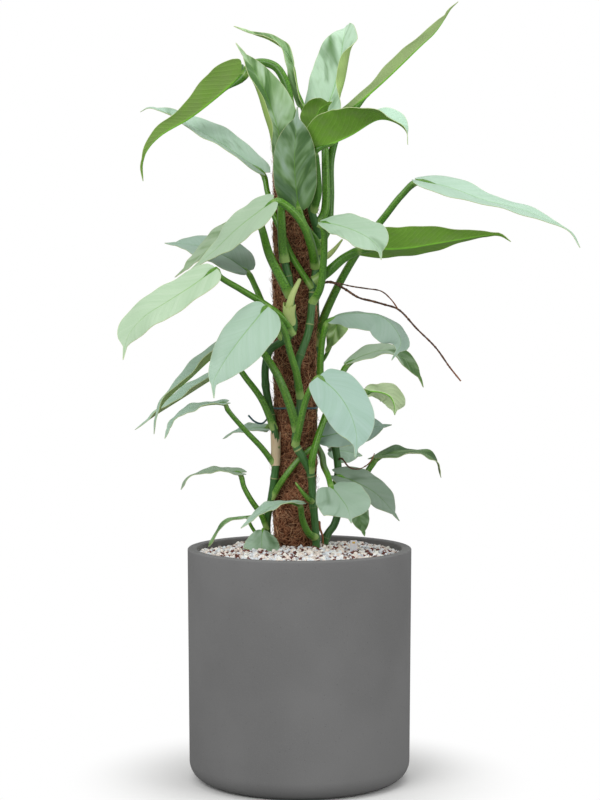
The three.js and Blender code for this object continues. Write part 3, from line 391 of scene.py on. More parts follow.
        stalk=[(50, 42, 480), (66, 50, 504), (84, 54, 540), (94, 54, 553)],
        rib=[(97, 54, 553), (117, 52, 552), (131, 48, 546), (137, 45, 535), (138, 44, 519)]),
    "leaf_low_right_waved": Leaf(
        stem="right", width=38, face=(0, -0.25, 1), lean=30, wave=3.5, heel=0.4, bloom=0.35,
        tone=-0.4,
        stalk=[(55, 45, 419), (80, 56, 424), (96, 60, 432), (104, 60, 443)],
        rib=[(112, 60, 456), (135, 58, 462), (161, 56, 463), (184, 54, 461), (199, 54, 451),
             (206, 54, 427)]),
    "leaf_low_right_broad": Leaf(
        stem="right", width=48, face=(0.3, -0.8, 0.5), heel=0.35, peak=0.35, fullness=2.6,
        tone=-0.5, warm=0.25,
        stalk=[(54, 45, 402), (54, 37, 415), (53, 34, 427)],
        rib=[(56, 31, 432), (79, 30, 424), (108, 28, 408), (129, 26, 387), (144, 24, 367)]),
    "leaf_low_right_round": Leaf(
        stem="back", width=74, face=(0.1, -0.85, 0.5), lean=-40, fold=(6, 6), lobe=0.06, heel=0.5,
        peak=0.45, fullness=4, tone=-0.25, warm=0.15,
        stalk=[(20, 84, 478), (32, 66, 460), (35, 38, 446), (41, 6, 434)],
        rib=[(46, -14, 420), (57, -26, 407), (68, -36, 391), (73, -40, 371)]),
    "leaf_low_right_pointed": Leaf(
        stem="right", width=32, face=(0.2, -0.8, 0.5), lean=-20, heel=0.4, girth=(3.2, 2.4),
        bloom=0.45, tone=-0.2,
        stalk=[(56, 44, 378), (64, 38, 385), (69, 34, 389)],
        rib=[(79, 32, 397), (86, 28, 374), (94, 24, 345)]),
    "leaf_low_right_pale": Leaf(
        stem="right", width=40, face=(0.1, -0.9, 0.3), lean=20, heel=0.4, girth=(3.2, 2.4),
        stalk=[(52, 42, 472), (48, 56, 470), (45, 66, 467)],
        rib=[(45, 74, 466), (67, 78, 464), (92, 82, 457)]),
}

# Stems, each from its foot in the gravel up the pole
STEMS = {
    "left": [(-47, 44, 250), (-47, 44, 334), (-47, 43, 366), (-41, 29, 398), (-35, 21, 441),
             (-34, 20, 484), (-41, 26, 520), (-49, 41, 563), (-49, 39, 592), (-42, 25, 614),
             (-23, 11, 628), (-9, 7, 643), (-12, 7, 678), (-14, 6, 707), (-21, 5, 740)],
    "front": [(24, 18, 250), (24, 18, 334), (22, 17, 369), (19, 14, 398), (16, 10, 436), (5, -1, 460),
              (-6, -3, 482), (-1, 2, 514), (1, 7, 543), (-4, 7, 588), (5, 9, 617), (13, 12, 641),
              (20, 17, 703), (25, 20, 740), (29, 24, 771), (20, 14, 802), (13, 8, 835),
              (10, 7, 865), (9, 8, 890)],
    "right": [(37, 40, 250), (37, 40, 300), (37, 40, 336), (42, 41, 348), (50, 42, 359), (56, 44, 380),
              (54, 45, 410), (56, 45, 439), (50, 42, 483), (39, 38, 527), (32, 33, 563)],
    "back": [(16, 86, 250), (16, 86, 334), (18, 86, 392), (20, 85, 465), (21, 84, 539), (23, 82, 612),
             (23, 82, 685), (20, 84, 741)],
}

# Rolled new leaves and sheaths: finish, radii at foot and tip, and the way they grow
GROWTH = {
    "new_shoot": ("shoot", (6.4, 2.6), [(-11, 7, 657), (-15, -4, 669), (-11, -10, 690), (1, -9, 716)]),
    "sheath_upper_right": ("shoot", (5.5, 1.2), [(25, 20, 744), (40, 33, 749), (50, 38, 758),
                                                 (62, 40, 773)]),
    "young_shoot_low": ("stalk", (4.5, 1.2), [(19, 14, 396), (14, 2, 400), (4, -6, 412), (-6, -7, 426)]),
    "bud_low": ("root", (0.9, 2.5), [(34, 24, 330), (33, 21, 346), (29, 19, 358), (28, 18, 368)]),
}

# Old sheaths wrapped part-way round: finish, radii at foot and top, degrees covered, the side that
# the middle faces, how ragged the top is, and the way they follow
WRAPS = {
    "sheath_shoot_foot": ("shoot", (7.4, 9.4), 250, (-0.5, -0.8, 0.2), 0.16,
                          [(-12, 6, 652), (-15, -4, 667), (-14, -9, 681)]),
    "sheath_stem_dry": ("dry", (7, 7.6), 170, (0.35, -0.9, 0), 0.35,
                        [(-35, 21, 448), (-34.5, 20.5, 470), (-35, 20, 498)]),
}

# Aerial roots: radii at foot and tip, and the way they grow
ROOTS = {
    "root_upper": [
        ((1.9, 1.1), [(20, 17, 697), (32, 26, 709), (46, 31, 711), (64, 32, 702), (85, 32, 689),
                      (104, 32, 684), (122, 32, 679), (142, 32, 672), (169, 31, 644),
                      (196, 29, 617), (216, 27, 589), (232, 26, 569)]),
        ((1.1, 0.9), [(32, 26, 709), (46, 31, 711), (76, 36, 705), (96, 37, 702), (118, 36, 698),
                      (132, 34, 686), (142, 32, 672)]),
    ],
    "root_low": [
        ((1.5, 0.7), [(56, 45, 453), (61, 30, 457), (72, 20, 445), (86, 19, 443), (101, 20, 452),
                      (108, 22, 465)]),
    ],
    "root_on_pole": [
        ((1.2, 0.8), [(-15, 12, 634), (-8, 9, 631), (0, 11, 622), (7, 10, 618), (13, 14, 612)]),
    ],
}
LOOSE_END = [(-38.9, 50, 530), (-44, 47, 518), (-54, 43, 507), (-65, 40, 510), (-74, 38, 519)]


# Settings that a user would change
def shade(name, description, code):
    """A colour setting with its default."""
    return FloatVectorProperty(
        name=name, description=description, subtype="COLOR", size=3, min=0, max=1, default=linear(code))


def length(name, description, millimetres):
    """A length setting with its default."""
    return FloatProperty(
        name=name, description=description, unit="LENGTH", subtype="DISTANCE", min=0,
        default=millimetres * MM, precision=5)


class PlantSizes(bpy.types.PropertyGroup):
    """Sizes and counts of the fine pieces"""
    blade_thickness: length("Blade thickness", "Thickness of a leaf blade", 0.8)
    rib_height: length("Rib height", "How far the middle rib stands under the blade", 1.1)
    vein_spacing: length("Vein spacing", "Distance between side veins along the rib", 10)
    grain: length("Gravel grain", "Width of a gravel grain, which each kind varies", 7.6)
    grain_spacing: length("Grain spacing", "Distance between gravel grains", 5.5)
    fibre_thickness: length("Fibre thickness", "Width of a coir fibre", 0.9)
    fibres: IntProperty(
        name="Coir fibres", description="Number of fibres on the pole", default=7000, min=0)
    wisps: IntProperty(
        name="Loose fibres", description="Fibres that stand off the pole", default=2600, min=0)


class PlantColours(bpy.types.PropertyGroup):
    """Colours of the plant, its pole, gravel and pot"""
    silver: shade("Silver", "Silver bloom on the upper side of a blade", "#b0d0b8")
    frost: shade("Frost", "Palest streaks of the silver bloom", "#c6ded0")
    green: shade("Leaf green", "Green of the upper side between the bloom", "#86b266")
    deep: shade("Deep green", "Darkest clouds of the upper side", "#4f7a40")
    under_pale: shade("Pale underside", "Underside of most blades", "#bccb9a")
    under_green: shade("Green underside", "Underside of the youngest blades", "#6a9734")
    margin: shade("Leaf margin", "Thin pale edge of a blade", "#dbe2b4")
    stalk: shade("Stalk", "Green of the leaf stalks", "#79b63b")
    stalk_dark: shade("Stalk shade", "Darkest green of the leaf stalks", "#2b5e0e")
    stalk_pale: shade("Stalk edge", "Pale lines and joints of the leaf stalks", "#a9c774")
    stem: shade("Stem", "Bluish green of the climbing stems", "#4d7c48")
    scar: shade("Stem scar", "Ring where a leaf has been", "#b4b97c")
    shoot: shade("Shoot", "Rolled shoots and the sheaths round them", "#c3d389")
    sheath: shade("Dry sheath", "Dried leaf sheath on a stem", "#d6c3a2")
    # Dark coir is the darkest of the fibres and also the painted shade of the mat between them.
    coir_dark: shade("Dark coir", "Deepest coir between the fibres", "#4d2a18")
    coir: shade("Coir", "Coir fibres", "#d0946f")
    coir_light: shade("Light coir", "Lightest coir fibres", "#eec29a")
    root: shade("Aerial root", "Bark of the aerial roots", "#3c2a20")
    root_tip: shade("Root tip", "Young end of an aerial root", "#8f5a3a")
    cream: shade("Cream gravel", "Rounded cream grains", "#f8ebe0")
    ice: shade("Pale gravel", "Angular pale blue grains", "#eef5fa")
    maroon: shade("Dark gravel", "Dark red-brown grains", "#74473f")
    pot: shade("Pot", "Grey of the pot", "#7f7f7f")
    gauge: shade("Water gauge", "Plastic of the water gauge", "#e4e3e6")
    mark: shade("Gauge mark", "Yellow marks of the water gauge", "#e0b23a")
    wire: shade("Tie wire", "Coated wire round the pole", "#4a6c73")
    wood: shade("Stake", "Wood of the stake", "#b08d62")


class StageSettings(bpy.types.PropertyGroup):
    """Floor, light and camera"""
    floor: shade("Floor", "Colour of the floor", "#fbfbfa")
    bounce: FloatProperty(
        name="Bounce", description="Share of light that the floor throws back up", default=0.45, min=0,
        max=1, subtype="FACTOR")
    floor_size: length("Floor size", "Side of the floor", 30000)
    backdrop: FloatProperty(
        name="Backdrop", description="Brightness of the empty background", default=1, min=0)
    clear_from: length("Clear floor from", "How far from the pot's middle the floor begins to fade", 165)
    clear_to: length("Clear floor to", "How far from the pot's middle the floor is all backdrop", 340)
    sky: FloatProperty(name="Sky light", description="Strength of the even light", default=0.52, min=0)
    key: FloatProperty(
        name="Key light", description="Power of the large front light", default=48, min=0, unit="POWER")
    top: FloatProperty(
        name="Top light", description="Power of the light overhead", default=17, min=0, unit="POWER")
    fill: FloatProperty(
        name="Side light", description="Power of the light from the right", default=18, min=0, unit="POWER")


# Curves
class Route:
    """A smooth centripetal curve through set points, walked by share of its length."""
    SAMPLES = 200

    def __init__(self, points):
        self.points = np.array(points, float)
        self.marks = np.linspace(0, 1, self.SAMPLES + 1)
        steps = np.diff(self.spot(self.marks), axis=0)
        self.walked = np.concatenate([[0], np.cumsum(np.linalg.norm(steps, axis=1))])
        self.length = self.walked[-1]

    def spot(self, marks):
        """Places at the curve's own marks from 0 to 1."""
        last = len(self.points) - 1
        place = np.clip(marks, 0, 1) * last
        start = np.minimum(place.astype(int), last - 1)
        weight = (place - start)[:, None]
        ends = np.vstack([
            2 * self.points[0] - self.points[1], self.points, 2 * self.points[-1] - self.points[-2]])
        p0, p1, p2, p3 = (ends[start + i] for i in range(4))
        gaps = ((p0, p1), (p1, p2), (p2, p3))
        d0, d1, d2 = (np.sqrt(np.linalg.norm(b - a, axis=1))[:, None] for a, b in gaps)
        t1 = ((p1 - p0) / d0 - (p2 - p0) / (d0 + d1) + (p2 - p1) / d1) * d1
        t2 = ((p2 - p1) / d1 - (p3 - p1) / (d1 + d2) + (p3 - p2) / d2) * d1
        square = 3 * (p2 - p1) - 2 * t1 - t2
        cube = 2 * (p1 - p2) + t1 + t2
        return p1 + weight * (t1 + weight * (square + weight * cube))

    def marks_at(self, along):
        return np.interp(np.asarray(along) * self.length, self.walked, self.marks)

    def at(self, along):
        """Places at shares of the length."""
        return self.spot(self.marks_at(along))

    def tangent(self, along):
        """Directions at shares of the length."""
        marks = self.marks_at(along)
        nudge = 1e-4
        ahead = self.spot(np.minimum(marks + nudge, 1)) - self.spot(np.maximum(marks - nudge, 0))
        return unit(ahead)


def unit(vectors):
    return vectors / np.linalg.norm(vectors, axis=-1, keepdims=True)


def between(ends, share):
    """A value some share of the way from the first end to the second."""
    return ends[0] + (ends[1] - ends[0]) * share


def full_turn(count):
    """Angles evenly spaced round a circle."""
    return 2 * np.pi * np.arange(count) / count


def either_way(turns):
    """Angles of a full turn, counted from 0 up to half a turn either way."""
    return np.where(turns > np.pi, turns - 2 * np.pi, turns)


def square_to(vector, tangents):
    """The part of a vector that stands square to each tangent, at length one."""
    vector = np.broadcast_to(np.asarray(vector, float), tangents.shape)
    return unit(vector - tangents * np.sum(vector * tangents, axis=1, keepdims=True))


def smooth(low, high, value):
    """A soft step from 0 at low to 1 at high."""
    share = np.clip((value - low) / (high - low), 0, 1)
    return share * share * (3 - 2 * share)


def bulge(value, centre, reach):
    """One at the centre, falling softly to nothing beyond its reach."""
    return np.exp(-((value - centre) / reach) ** 2)


# Meshes
class Shape:
    """Points, faces and painted values of one piece, gathered in millimetres."""

    def __init__(self):
        self.points = []
        self.faces = []
        self.slots = []
        self.painted = {}
        self.count = 0

    def add(self, points, faces, slot=0, **painted):
        """Adds a closed body. Each painted value is one number or three per point."""
        points = np.asarray(points, float)
        self.points.append(points)
        self.faces.extend(tuple(i + self.count for i in face) for face in faces)
        self.slots.extend([slot] * len(faces) if np.isscalar(slot) else slot)
        for name, values in painted.items():
            self.painted.setdefault(name, []).append((self.count, np.asarray(values, float)))
        self.count += len(points)

    def piece(self, name, materials, slot, replaces=(), crease=50):
        """Makes the object, rides it on the body and hides the frame parts that it replaces."""
        mesh = bpy.data.meshes.new(name)
        mesh.from_pydata((np.vstack(self.points) * MM).tolist(), [], self.faces)
        for material in materials:
            mesh.materials.append(material)
        mesh.polygons.foreach_set("material_index", self.slots)
        mesh.polygons.foreach_set("use_smooth", [True] * len(self.faces))
        for key, spans in self.painted.items():
            wide = spans[0][1].ndim > 1
            values = np.zeros((self.count, 3) if wide else self.count)
            for start, part in spans:
                values[start:start + len(part)] = part
            layer = mesh.attributes.new(key, "FLOAT_VECTOR" if wide else "FLOAT", "POINT")
            layer.data.foreach_set("vector" if wide else "value", values.ravel())
        mesh.update()
        if crease:
            mesh.set_sharp_from_angle(angle=math.radians(crease))
        if mesh.validate():
            raise RuntimeError(f"{name} has a broken mesh")
        obj = bpy.data.objects.new(name, mesh)
        bpy.context.scene.collection.objects.link(obj)
        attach(obj, BODY)
        if replaces:
            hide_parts(*replaces)
        return obj


def band_faces(rings, sides, looped=False):
    """Quads from ring to ring, and from the last back to the first where they are looped."""
    faces = []
    for i in range(rings if looped else rings - 1):
        here = i * sides
        above = (i + 1) % rings * sides
        for k in range(sides):
            ahead = (k + 1) % sides
            faces.append((here + k, here + ahead, above + ahead, above + k))
    return faces


def ring_faces(rings, sides):
    """Faces of a closed tube: its sides as quads, and one flat face at each end."""
    last = (rings - 1) * sides
    ends = [tuple(range(sides))[::-1], tuple(last + k for k in range(sides))]
    return band_faces(rings, sides) + ends


def carried_frames(tangents, first):
    """A direction square to each tangent, carried along without twisting."""
    ups = [square_to(first, tangents[:1])[0]]
    for tangent in tangents[1:]:
        ups.append(square_to(ups[-1], tangent[None])[0])
    return np.array(ups)


def tube(route, radii, sides, marks, up=(0.2, -1, 0.3), profile=None):
    """Rings of points along a route, with each point's turn about it and millimetres from the start."""
    marks = np.asarray(marks, float)
    centres = route.at(marks)
    tangents = route.tangent(marks)
    ups = carried_frames(tangents, up)
    across = np.cross(tangents, ups)
    turns = full_turn(sides)
    swell = np.ones(sides) if profile is None else profile(turns)
    radii = np.broadcast_to(np.asarray(radii, float), marks.shape)
    reach = radii[:, None, None] * swell[None, :, None]
    rings = centres[:, None] + reach * (
        ups[:, None] * np.cos(turns)[None, :, None] + across[:, None] * np.sin(turns)[None, :, None])
    turn = np.tile(either_way(turns) / np.pi, len(marks))
    walked = np.repeat(marks * route.length, sides)
    return rings.reshape(-1, 3), turn, walked


def way_along(turn, walked, end):
    """Painted values of a tube: the turn about it, the millimetres walked and those left."""
    return np.stack([turn, walked, end - walked], axis=-1)


# Leaf blades
def leaned_route(leaf):
    """Stalk and rib, leaned back towards the tip along the lines of sight of the front view."""
    route = np.array([*leaf.stalk, *leaf.rib], float)
    steps = np.linalg.norm(np.diff(route, axis=0), axis=1)
    walked = np.concatenate([[0], np.cumsum(steps)])
    back = leaf.lean * (walked / walked[-1]) ** 2
    farther = 1 + back / (FRONT_VIEW["distance"] + route[:, 1])
    route[:, 0] *= farther
    route[:, 1] += back
    route[:, 2] = FRONT_VIEW["height"] + (route[:, 2] - FRONT_VIEW["height"]) * farther
    return route[:len(leaf.stalk)], route[len(leaf.stalk):]


def blade_half_width(leaf, along):
    """Half the width: a heart-shaped base, then a long taper to a drip tip."""
    half = leaf.width / 2
    swell = np.sin(np.pi / 2 * np.minimum(along / leaf.peak, 1)) ** 0.6
    base = half * (leaf.heel + (1 - leaf.heel) * swell)
    taper = np.clip((along - leaf.peak) / (BLADE["drip"] - leaf.peak), 0, 1)
    body = half * (1 - taper ** leaf.fullness) ** 0.9
    drip_share = np.clip((1 - along) / (1 - BLADE["drip"]), 0, 1)
    drip = between((BLADE["tip_half"], BLADE["drip_half"]), drip_share)
    return np.where(along < leaf.peak, base, np.maximum(body, drip))


def blade_sheet(leaf, rib, along, across, random_phase):
    """The blade's middle surface as rows along the rib, and its width at each row."""
    tangent = rib.tangent(along)
    up = square_to(leaf.face, tangent)
    roll = np.radians(between(leaf.roll, along ** 2))[:, None]
    up = up * np.cos(roll) + np.cross(tangent, up) * np.sin(roll)
    side = np.cross(tangent, up)
    uneven = np.where(across < 0, leaf.halves[0], leaf.halves[1])
    half = blade_half_width(leaf, along)[:, None] * uneven[None]
    reach = np.abs(across)[None]
    opened = np.minimum(half / BLADE["open_half"], 1)
    fold = np.radians(np.where(across < 0, leaf.fold[0], leaf.fold[1]))[None] * opened
    swing = np.sin(2 * np.pi * (BLADE["waves"] * along[:, None] + BLADE["wave_slant"] * across[None]))
    calm = np.minimum(half / BLADE["calm_half"], 1)
    ripple = leaf.wave * calm * reach * swing
    shake = np.sin(2 * np.pi * (BLADE["ruffles"] * along[:, None] + random_phase) + 2 * across[None])
    ruffle = BLADE["ruffle"] * calm * reach ** 3 * shake
    lift = half * (reach * np.sin(fold) - leaf.curl * reach ** 2) + ripple + ruffle
    out = half * reach * np.cos(fold)
    for edge, start, end, degrees in leaf.rolled:
        out, lift = roll_edge(out, lift, half, reach, fold, np.sign(across)[None] == edge,
                              math.radians(degrees) * edge_window(along, start, end))
    behind = leaf.lobe * rib.length * np.maximum(1 - along / leaf.peak, 0)[:, None] ** 2
    rounded = BLADE["lobe_reach"] * reach ** 1.5 * (1 - 0.7 * reach ** 2)
    start_way = rib.tangent(np.array([0.0]))[0]
    points = (rib.at(along)[:, None]
              + side[:, None] * (out * np.sign(across)[None])[..., None]
              + up[:, None] * lift[..., None]
              - start_way * (behind * rounded)[..., None])
    return points, half


def edge_window(along, start, end):
    """How far an edge is rolled at each row: nothing outside start and end, most between them."""
    soft = (end - start) * 0.4
    return (smooth(start, start + soft, along) * (1 - smooth(end - soft, end, along)))[:, None]


def roll_edge(out, lift, half, reach, fold, chosen, bend, hinge=0.45):
    """Bends the outer part of one half round, about a line at the hinge share of its width."""
    bend = np.maximum(bend, 1e-4)
    share = np.clip((reach - hinge) / (1 - hinge), 0, 1)
    arc = half * (1 - hinge)
    turned = share * bend
    forward = arc / bend * np.sin(turned)
    rise = arc / bend * (1 - np.cos(turned))
    base = np.minimum(reach, hinge) * half
    rolled_out = (base + forward) * np.cos(fold) - rise * np.sin(fold)
    rolled_lift = (base + forward) * np.sin(fold) + rise * np.cos(fold)
    flat_out = half * reach * np.cos(fold)
    flat_lift = half * reach * np.sin(fold)
    use = chosen & (reach > hinge)
    out = np.where(use, out + rolled_out - flat_out, out)
    return out, np.where(use, lift + rolled_lift - flat_lift, lift)


def sheet_normals(points):
    """Unit normals of a grid of points."""
    down = np.gradient(points, axis=0)
    right = np.gradient(points, axis=1)
    return unit(np.cross(right, down) + 1e-12)


def sheet_faces(rows, columns):
    """Faces and slots of a thin closed sheet: its upper side 0, its under side 1 and its rim 2."""
    faces, slots = [], []
    below = rows * columns
    for i in range(rows - 1):
        for j in range(columns - 1):
            a = i * columns + j
            faces.append((a, a + 1, a + columns + 1, a + columns))
            faces.append((below + a, below + a + columns, below + a + columns + 1, below + a + 1))
            slots += [0, 1]
    rim = list(range(columns))
    rim += [i * columns + columns - 1 for i in range(1, rows)]
    rim += [(rows - 1) * columns + j for j in range(columns - 2, -1, -1)]
    rim += [i * columns for i in range(rows - 2, 0, -1)]
    for p, q in zip(rim, rim[1:] + rim[:1]):
        faces.append((q, p, below + p, below + q))
        slots.append(2)
    return faces, slots


def add_wrap(shape, route, radii, cover, facing, ragged):
    """A thin sheet wrapped part-way round a route, with a ragged top."""
    rows, columns = WRAP["rows"], WRAP["columns"]
    turns = np.radians(cover) * (np.linspace(0, 1, columns) - 0.5)
    top = 1 - ragged * (0.5 + 0.35 * np.sin(2.2 * turns + 1) + 0.15 * np.sin(11 * turns))
    marks = (np.linspace(0, 1, rows)[:, None] * top[None]).ravel()
    turn = np.tile(turns, rows)
    tangents = route.tangent(marks)
    ups = square_to(facing, tangents)
    outward = ups * np.cos(turn)[:, None] + np.cross(tangents, ups) * np.sin(turn)[:, None]
    radius = between(radii, marks)[:, None]
    centres = route.at(marks)
    whole = np.vstack([centres + outward * radius, centres + outward * (radius - WRAP["thickness"])])
    faces, _ = sheet_faces(rows, columns)
    place = way_along(turn / np.pi, marks * route.length, route.length)
    shape.add(whole, faces, leaf_place=np.vstack([place, place]))


BLADE_ROWS = 46
BLADE_COLUMNS = np.array([
    0, 0.015, 0.04, 0.08, 0.15, 0.25, 0.36, 0.48, 0.6, 0.71, 0.81, 0.89, 0.95, 0.985, 1])


def add_blade(shape, leaf, rib, sizes, seed):
    """A thin closed blade with its rib sunk above and raised below. Slots: upper, under, margin."""
    across = np.concatenate([-BLADE_COLUMNS[:0:-1], BLADE_COLUMNS])
    along = np.linspace(0, 1, BLADE_ROWS) ** 1.1
    rows, columns = len(along), len(across)
    points, half = blade_sheet(leaf, rib, along, across, seed)
    normals = sheet_normals(points)
    thickness = sizes.blade_thickness / MM / 2
    from_rib = half * np.abs(across)[None]
    rib_half = leaf.girth[1] * RIB["girth"] * (1 - along) ** RIB["taper"]
    rib_half = np.maximum(rib_half, RIB["least_half"])[:, None]
    ridge = bulge(from_rib, 0, rib_half) * np.minimum(half / RIB["full_from"], 1)
    height = sizes.rib_height / MM * (1 - RIB["falls"] * along)[:, None] * ridge
    upper = points + normals * (thickness - RIB["groove"] * height)[..., None]
    under = points - normals * (thickness + height)[..., None]
    faces, slots = sheet_faces(rows, columns)
    place = np.stack([
        np.broadcast_to(half * across[None], (rows, columns)),
        np.broadcast_to(along[:, None] * rib.length, (rows, columns)),
        np.full((rows, columns), seed * 900.0),
    ], axis=-1).reshape(-1, 3)
    edge = np.stack([
        half * (1 - np.abs(across))[None],
        from_rib / rib_half,
        np.broadcast_to(along[:, None], (rows, columns)),
    ], axis=-1).reshape(-1, 3)
    tint = np.tile([leaf.bloom, leaf.tone, leaf.under], (rows * columns, 1))
    tint[:, 0] += leaf.fade * np.repeat(along, columns) ** 2
    both = [np.vstack([values, values]) for values in (place, edge, tint)]
    warm = np.full(2 * rows * columns, float(leaf.warm))
    whole = np.vstack([upper.reshape(-1, 3), under.reshape(-1, 3)])
    shape.add(whole, faces, slots, leaf_place=both[0], leaf_edge=both[1], leaf_tint=both[2],
              leaf_warm=warm)


def channelled(turns):
    """A stalk's outline: flat and sunk on its upper side between two low edges."""
    wrapped = np.abs(either_way(turns))
    return 1 - 0.14 * bulge(wrapped, 0, 0.35) + 0.07 * bulge(wrapped, 0.72, 0.22)


def swelling(swell, walked, start=0):
    """How much a swelling adds at each way walked, with its middle measured from the start."""
    share, middle, reach = swell
    return share * bulge(walked, start + middle, reach)


def add_stalk(shape, leaf, stalk, rib):
    """The stalk, which runs on under the blade as the thick start of its rib."""
    def sunk(along, depth):
        where = np.array([along])
        return (rib.at(where) - square_to(leaf.face, rib.tangent(where)) * depth)[0]

    route = Route([
        *stalk, sunk(0, leaf.girth[1] * STALK["sink"]),
        sunk(STALK["rib_end"], STALK["rib_radius"]),
    ])
    joint = 1 - STALK["rib_end"] * rib.length / route.length
    steps = max(int(route.length * joint / STALK["step"]), 8)
    under_blade = np.linspace(joint, 1, STALK["rib_steps"] + 1)[1:]
    marks = np.concatenate([np.linspace(0, joint, steps + 1), under_blade])
    share = np.clip(marks / joint, 0, 1)
    body = between(leaf.girth, share)
    walked = marks * route.length
    flare = 1 + swelling(STALK_FLARE, walked) + swelling(STALK_RING, walked)
    knee = 1 + swelling(STALK_KNEE, walked, joint * route.length)
    ending = 1 - smooth(joint, 1, marks)
    radii = np.maximum(body * flare * knee * ending, STALK["rib_radius"] * STALK["rib_tip"])
    towards = square_to(leaf.face, route.tangent(np.array([joint])))[0]
    start = carried_frames(route.tangent(marks[:steps + 1])[::-1], towards)[-1]
    points, turn, walked_at = tube(route, radii, STALK["sides"], marks, start, channelled)
    place = way_along(turn, walked_at, joint * route.length)
    shape.add(points, ring_faces(len(marks), STALK["sides"]), 3, leaf_place=place)


# Finishes
SHADER_SOCKETS = {
    "roughness": "Roughness", "specular": "Specular IOR Level",
    "subsurface": "Subsurface Weight", "subsurface_scale": "Subsurface Scale",
}


class Finish:
    """A node material: its surface shader, and short calls for the nodes that feed it."""

    def __init__(self, name, **sockets):
        self.material = bpy.data.materials.new(name)
        self.material.use_nodes = True
        tree = self.material.node_tree
        self.nodes, self.links = tree.nodes, tree.links
        self.shader = self.nodes["Principled BSDF"]
        for socket, value in sockets.items():
            self.shader.inputs[SHADER_SOCKETS[socket]].default_value = value

    def node(self, kind, inputs=(), **settings):
        node = self.nodes.new(kind)
        for key, value in settings.items():
            setattr(node, key, value)
        for socket, value in dict(inputs).items():
            self.feed(node.inputs[socket], value)
        return node

    def feed(self, socket, value):
        if isinstance(value, bpy.types.NodeSocket):
            self.links.new(value, socket)
        elif socket.type == "RGBA":
            socket.default_value = (*value, 1)
        else:
            socket.default_value = value

    def painted(self, name):
        """The three painted values of a point, apart."""
        layer = self.node("ShaderNodeAttribute", attribute_name=name)
        parts = self.node("ShaderNodeSeparateXYZ", {0: layer.outputs["Vector"]})
        return parts.outputs[0], parts.outputs[1], parts.outputs[2]

    def value(self, name):
        return self.node("ShaderNodeAttribute", attribute_name=name).outputs["Fac"]

    def vector(self, x, y, z):
        return self.node("ShaderNodeCombineXYZ", {0: x, 1: y, 2: z}).outputs[0]

    def math(self, operation, first, second=0.0):
        return self.node("ShaderNodeMath", {0: first, 1: second}, operation=operation).outputs[0]

    def times(self, first, second):
        return self.math("MULTIPLY", first, second)

    def plus(self, first, second):
        return self.math("ADD", first, second)

    def minus(self, first, second):
        return self.math("SUBTRACT", first, second)

    def size(self, value):
        return self.math("ABSOLUTE", value)

    def place(self):
        return self.node("ShaderNodeTexCoord").outputs["Object"]

    def noise(self, scale, where, detail=3.0, rough=0.5, warp=0.0):
        inputs = {"Vector": where, "Scale": scale, "Detail": detail, "Roughness": rough, "Distortion": warp}
        return self.node("ShaderNodeTexNoise", inputs).outputs["Fac"]

    def lines_along(self, turn, walked, round_scale, along_scale, third, rough):
        """Noise drawn out along a stalk or stem, by the turn about it and the way walked."""
        place = self.vector(self.times(turn, round_scale), self.times(walked, along_scale), third)
        return self.noise(1.0, place, 4.0, rough)

    def step(self, value, low, high, start=0.0, end=1.0):
        """A soft step of a value from start at low to end at high."""
        inputs = {"Value": value, "From Min": low, "From Max": high, "To Min": start, "To Max": end}
        return self.node("ShaderNodeMapRange", inputs, interpolation_type="SMOOTHSTEP").outputs[0]

    def fade(self, value, high, low):
        """One at low, falling to nothing at high."""
        return self.step(value, low, high, 1.0, 0.0)

    def mix(self, share, first, second, blend="MIX"):
        node = self.node("ShaderNodeMix", data_type="RGBA", blend_type=blend)
        self.feed(node.inputs[0], share)
        self.feed(node.inputs[6], first)
        self.feed(node.inputs[7], second)
        return node.outputs[2]

    def wash(self, colour, other, where, most):
        """Mixes in another colour where a value is high, by a share of most."""
        return self.mix(self.times(where, most), colour, other)

    def lighten(self, colour, value):
        """Brightens a colour by a value round 1."""
        return self.node("ShaderNodeHueSaturation", {"Value": value, "Color": colour}).outputs[0]

    def warmed(self, colour, warmth):
        """Shifts a colour towards yellow, or towards blue where the warmth is below 0."""
        red = self.plus(self.times(warmth, 0.07), 1.0)
        blue = self.plus(self.times(warmth, -0.22), 1.0)
        gain = self.vector(red, 1.0, blue)
        gained = self.node("ShaderNodeVectorMath", {0: colour, 1: gain}, operation="MULTIPLY")
        return gained.outputs["Vector"]

    def bump(self, height, distance, strength=1.0, under=None):
        inputs = {"Height": height, "Strength": strength, "Distance": distance}
        if under is not None:
            inputs["Normal"] = under
        return self.node("ShaderNodeBump", inputs).outputs[0]

    def done(self, colour, normal=None, roughness=None):
        self.feed(self.shader.inputs["Base Color"], colour)
        if normal is not None:
            self.feed(self.shader.inputs["Normal"], normal)
        if roughness is not None:
            self.feed(self.shader.inputs["Roughness"], roughness)
        return self.material


def vein_sweep(finish, across, along):
    """Where the line that leaves the rib and sweeps towards the tip through a point meets the rib."""
    aside = finish.size(across)
    swept = finish.times(finish.math("POWER", aside, 0.85), 2.3)
    return finish.minus(along, swept)


def vein_lines(finish, across, along, spacing):
    """Side veins: one at each swept line, a spacing apart on the rib."""
    phase = finish.math("DIVIDE", vein_sweep(finish, across, along), spacing)
    wobble = finish.noise(0.03, finish.vector(across, along, 0.0), 1.0)
    phase = finish.plus(phase, finish.times(wobble, 0.8))
    return finish.math("PINGPONG", phase, 0.5)


def blade_colour(finish, colour, colours, from_rim, brightness):
    """A blade's colour with its pale edge, then made as light as the leaf's tone, which is partly painted
    shade and light, and as warm as the leaf is.
    """
    edge = finish.fade(from_rim, 0.8, 0.2)
    colour = finish.wash(colour, colours.margin, edge, 0.6)
    return finish.warmed(finish.lighten(colour, brightness), finish.value("leaf_warm"))


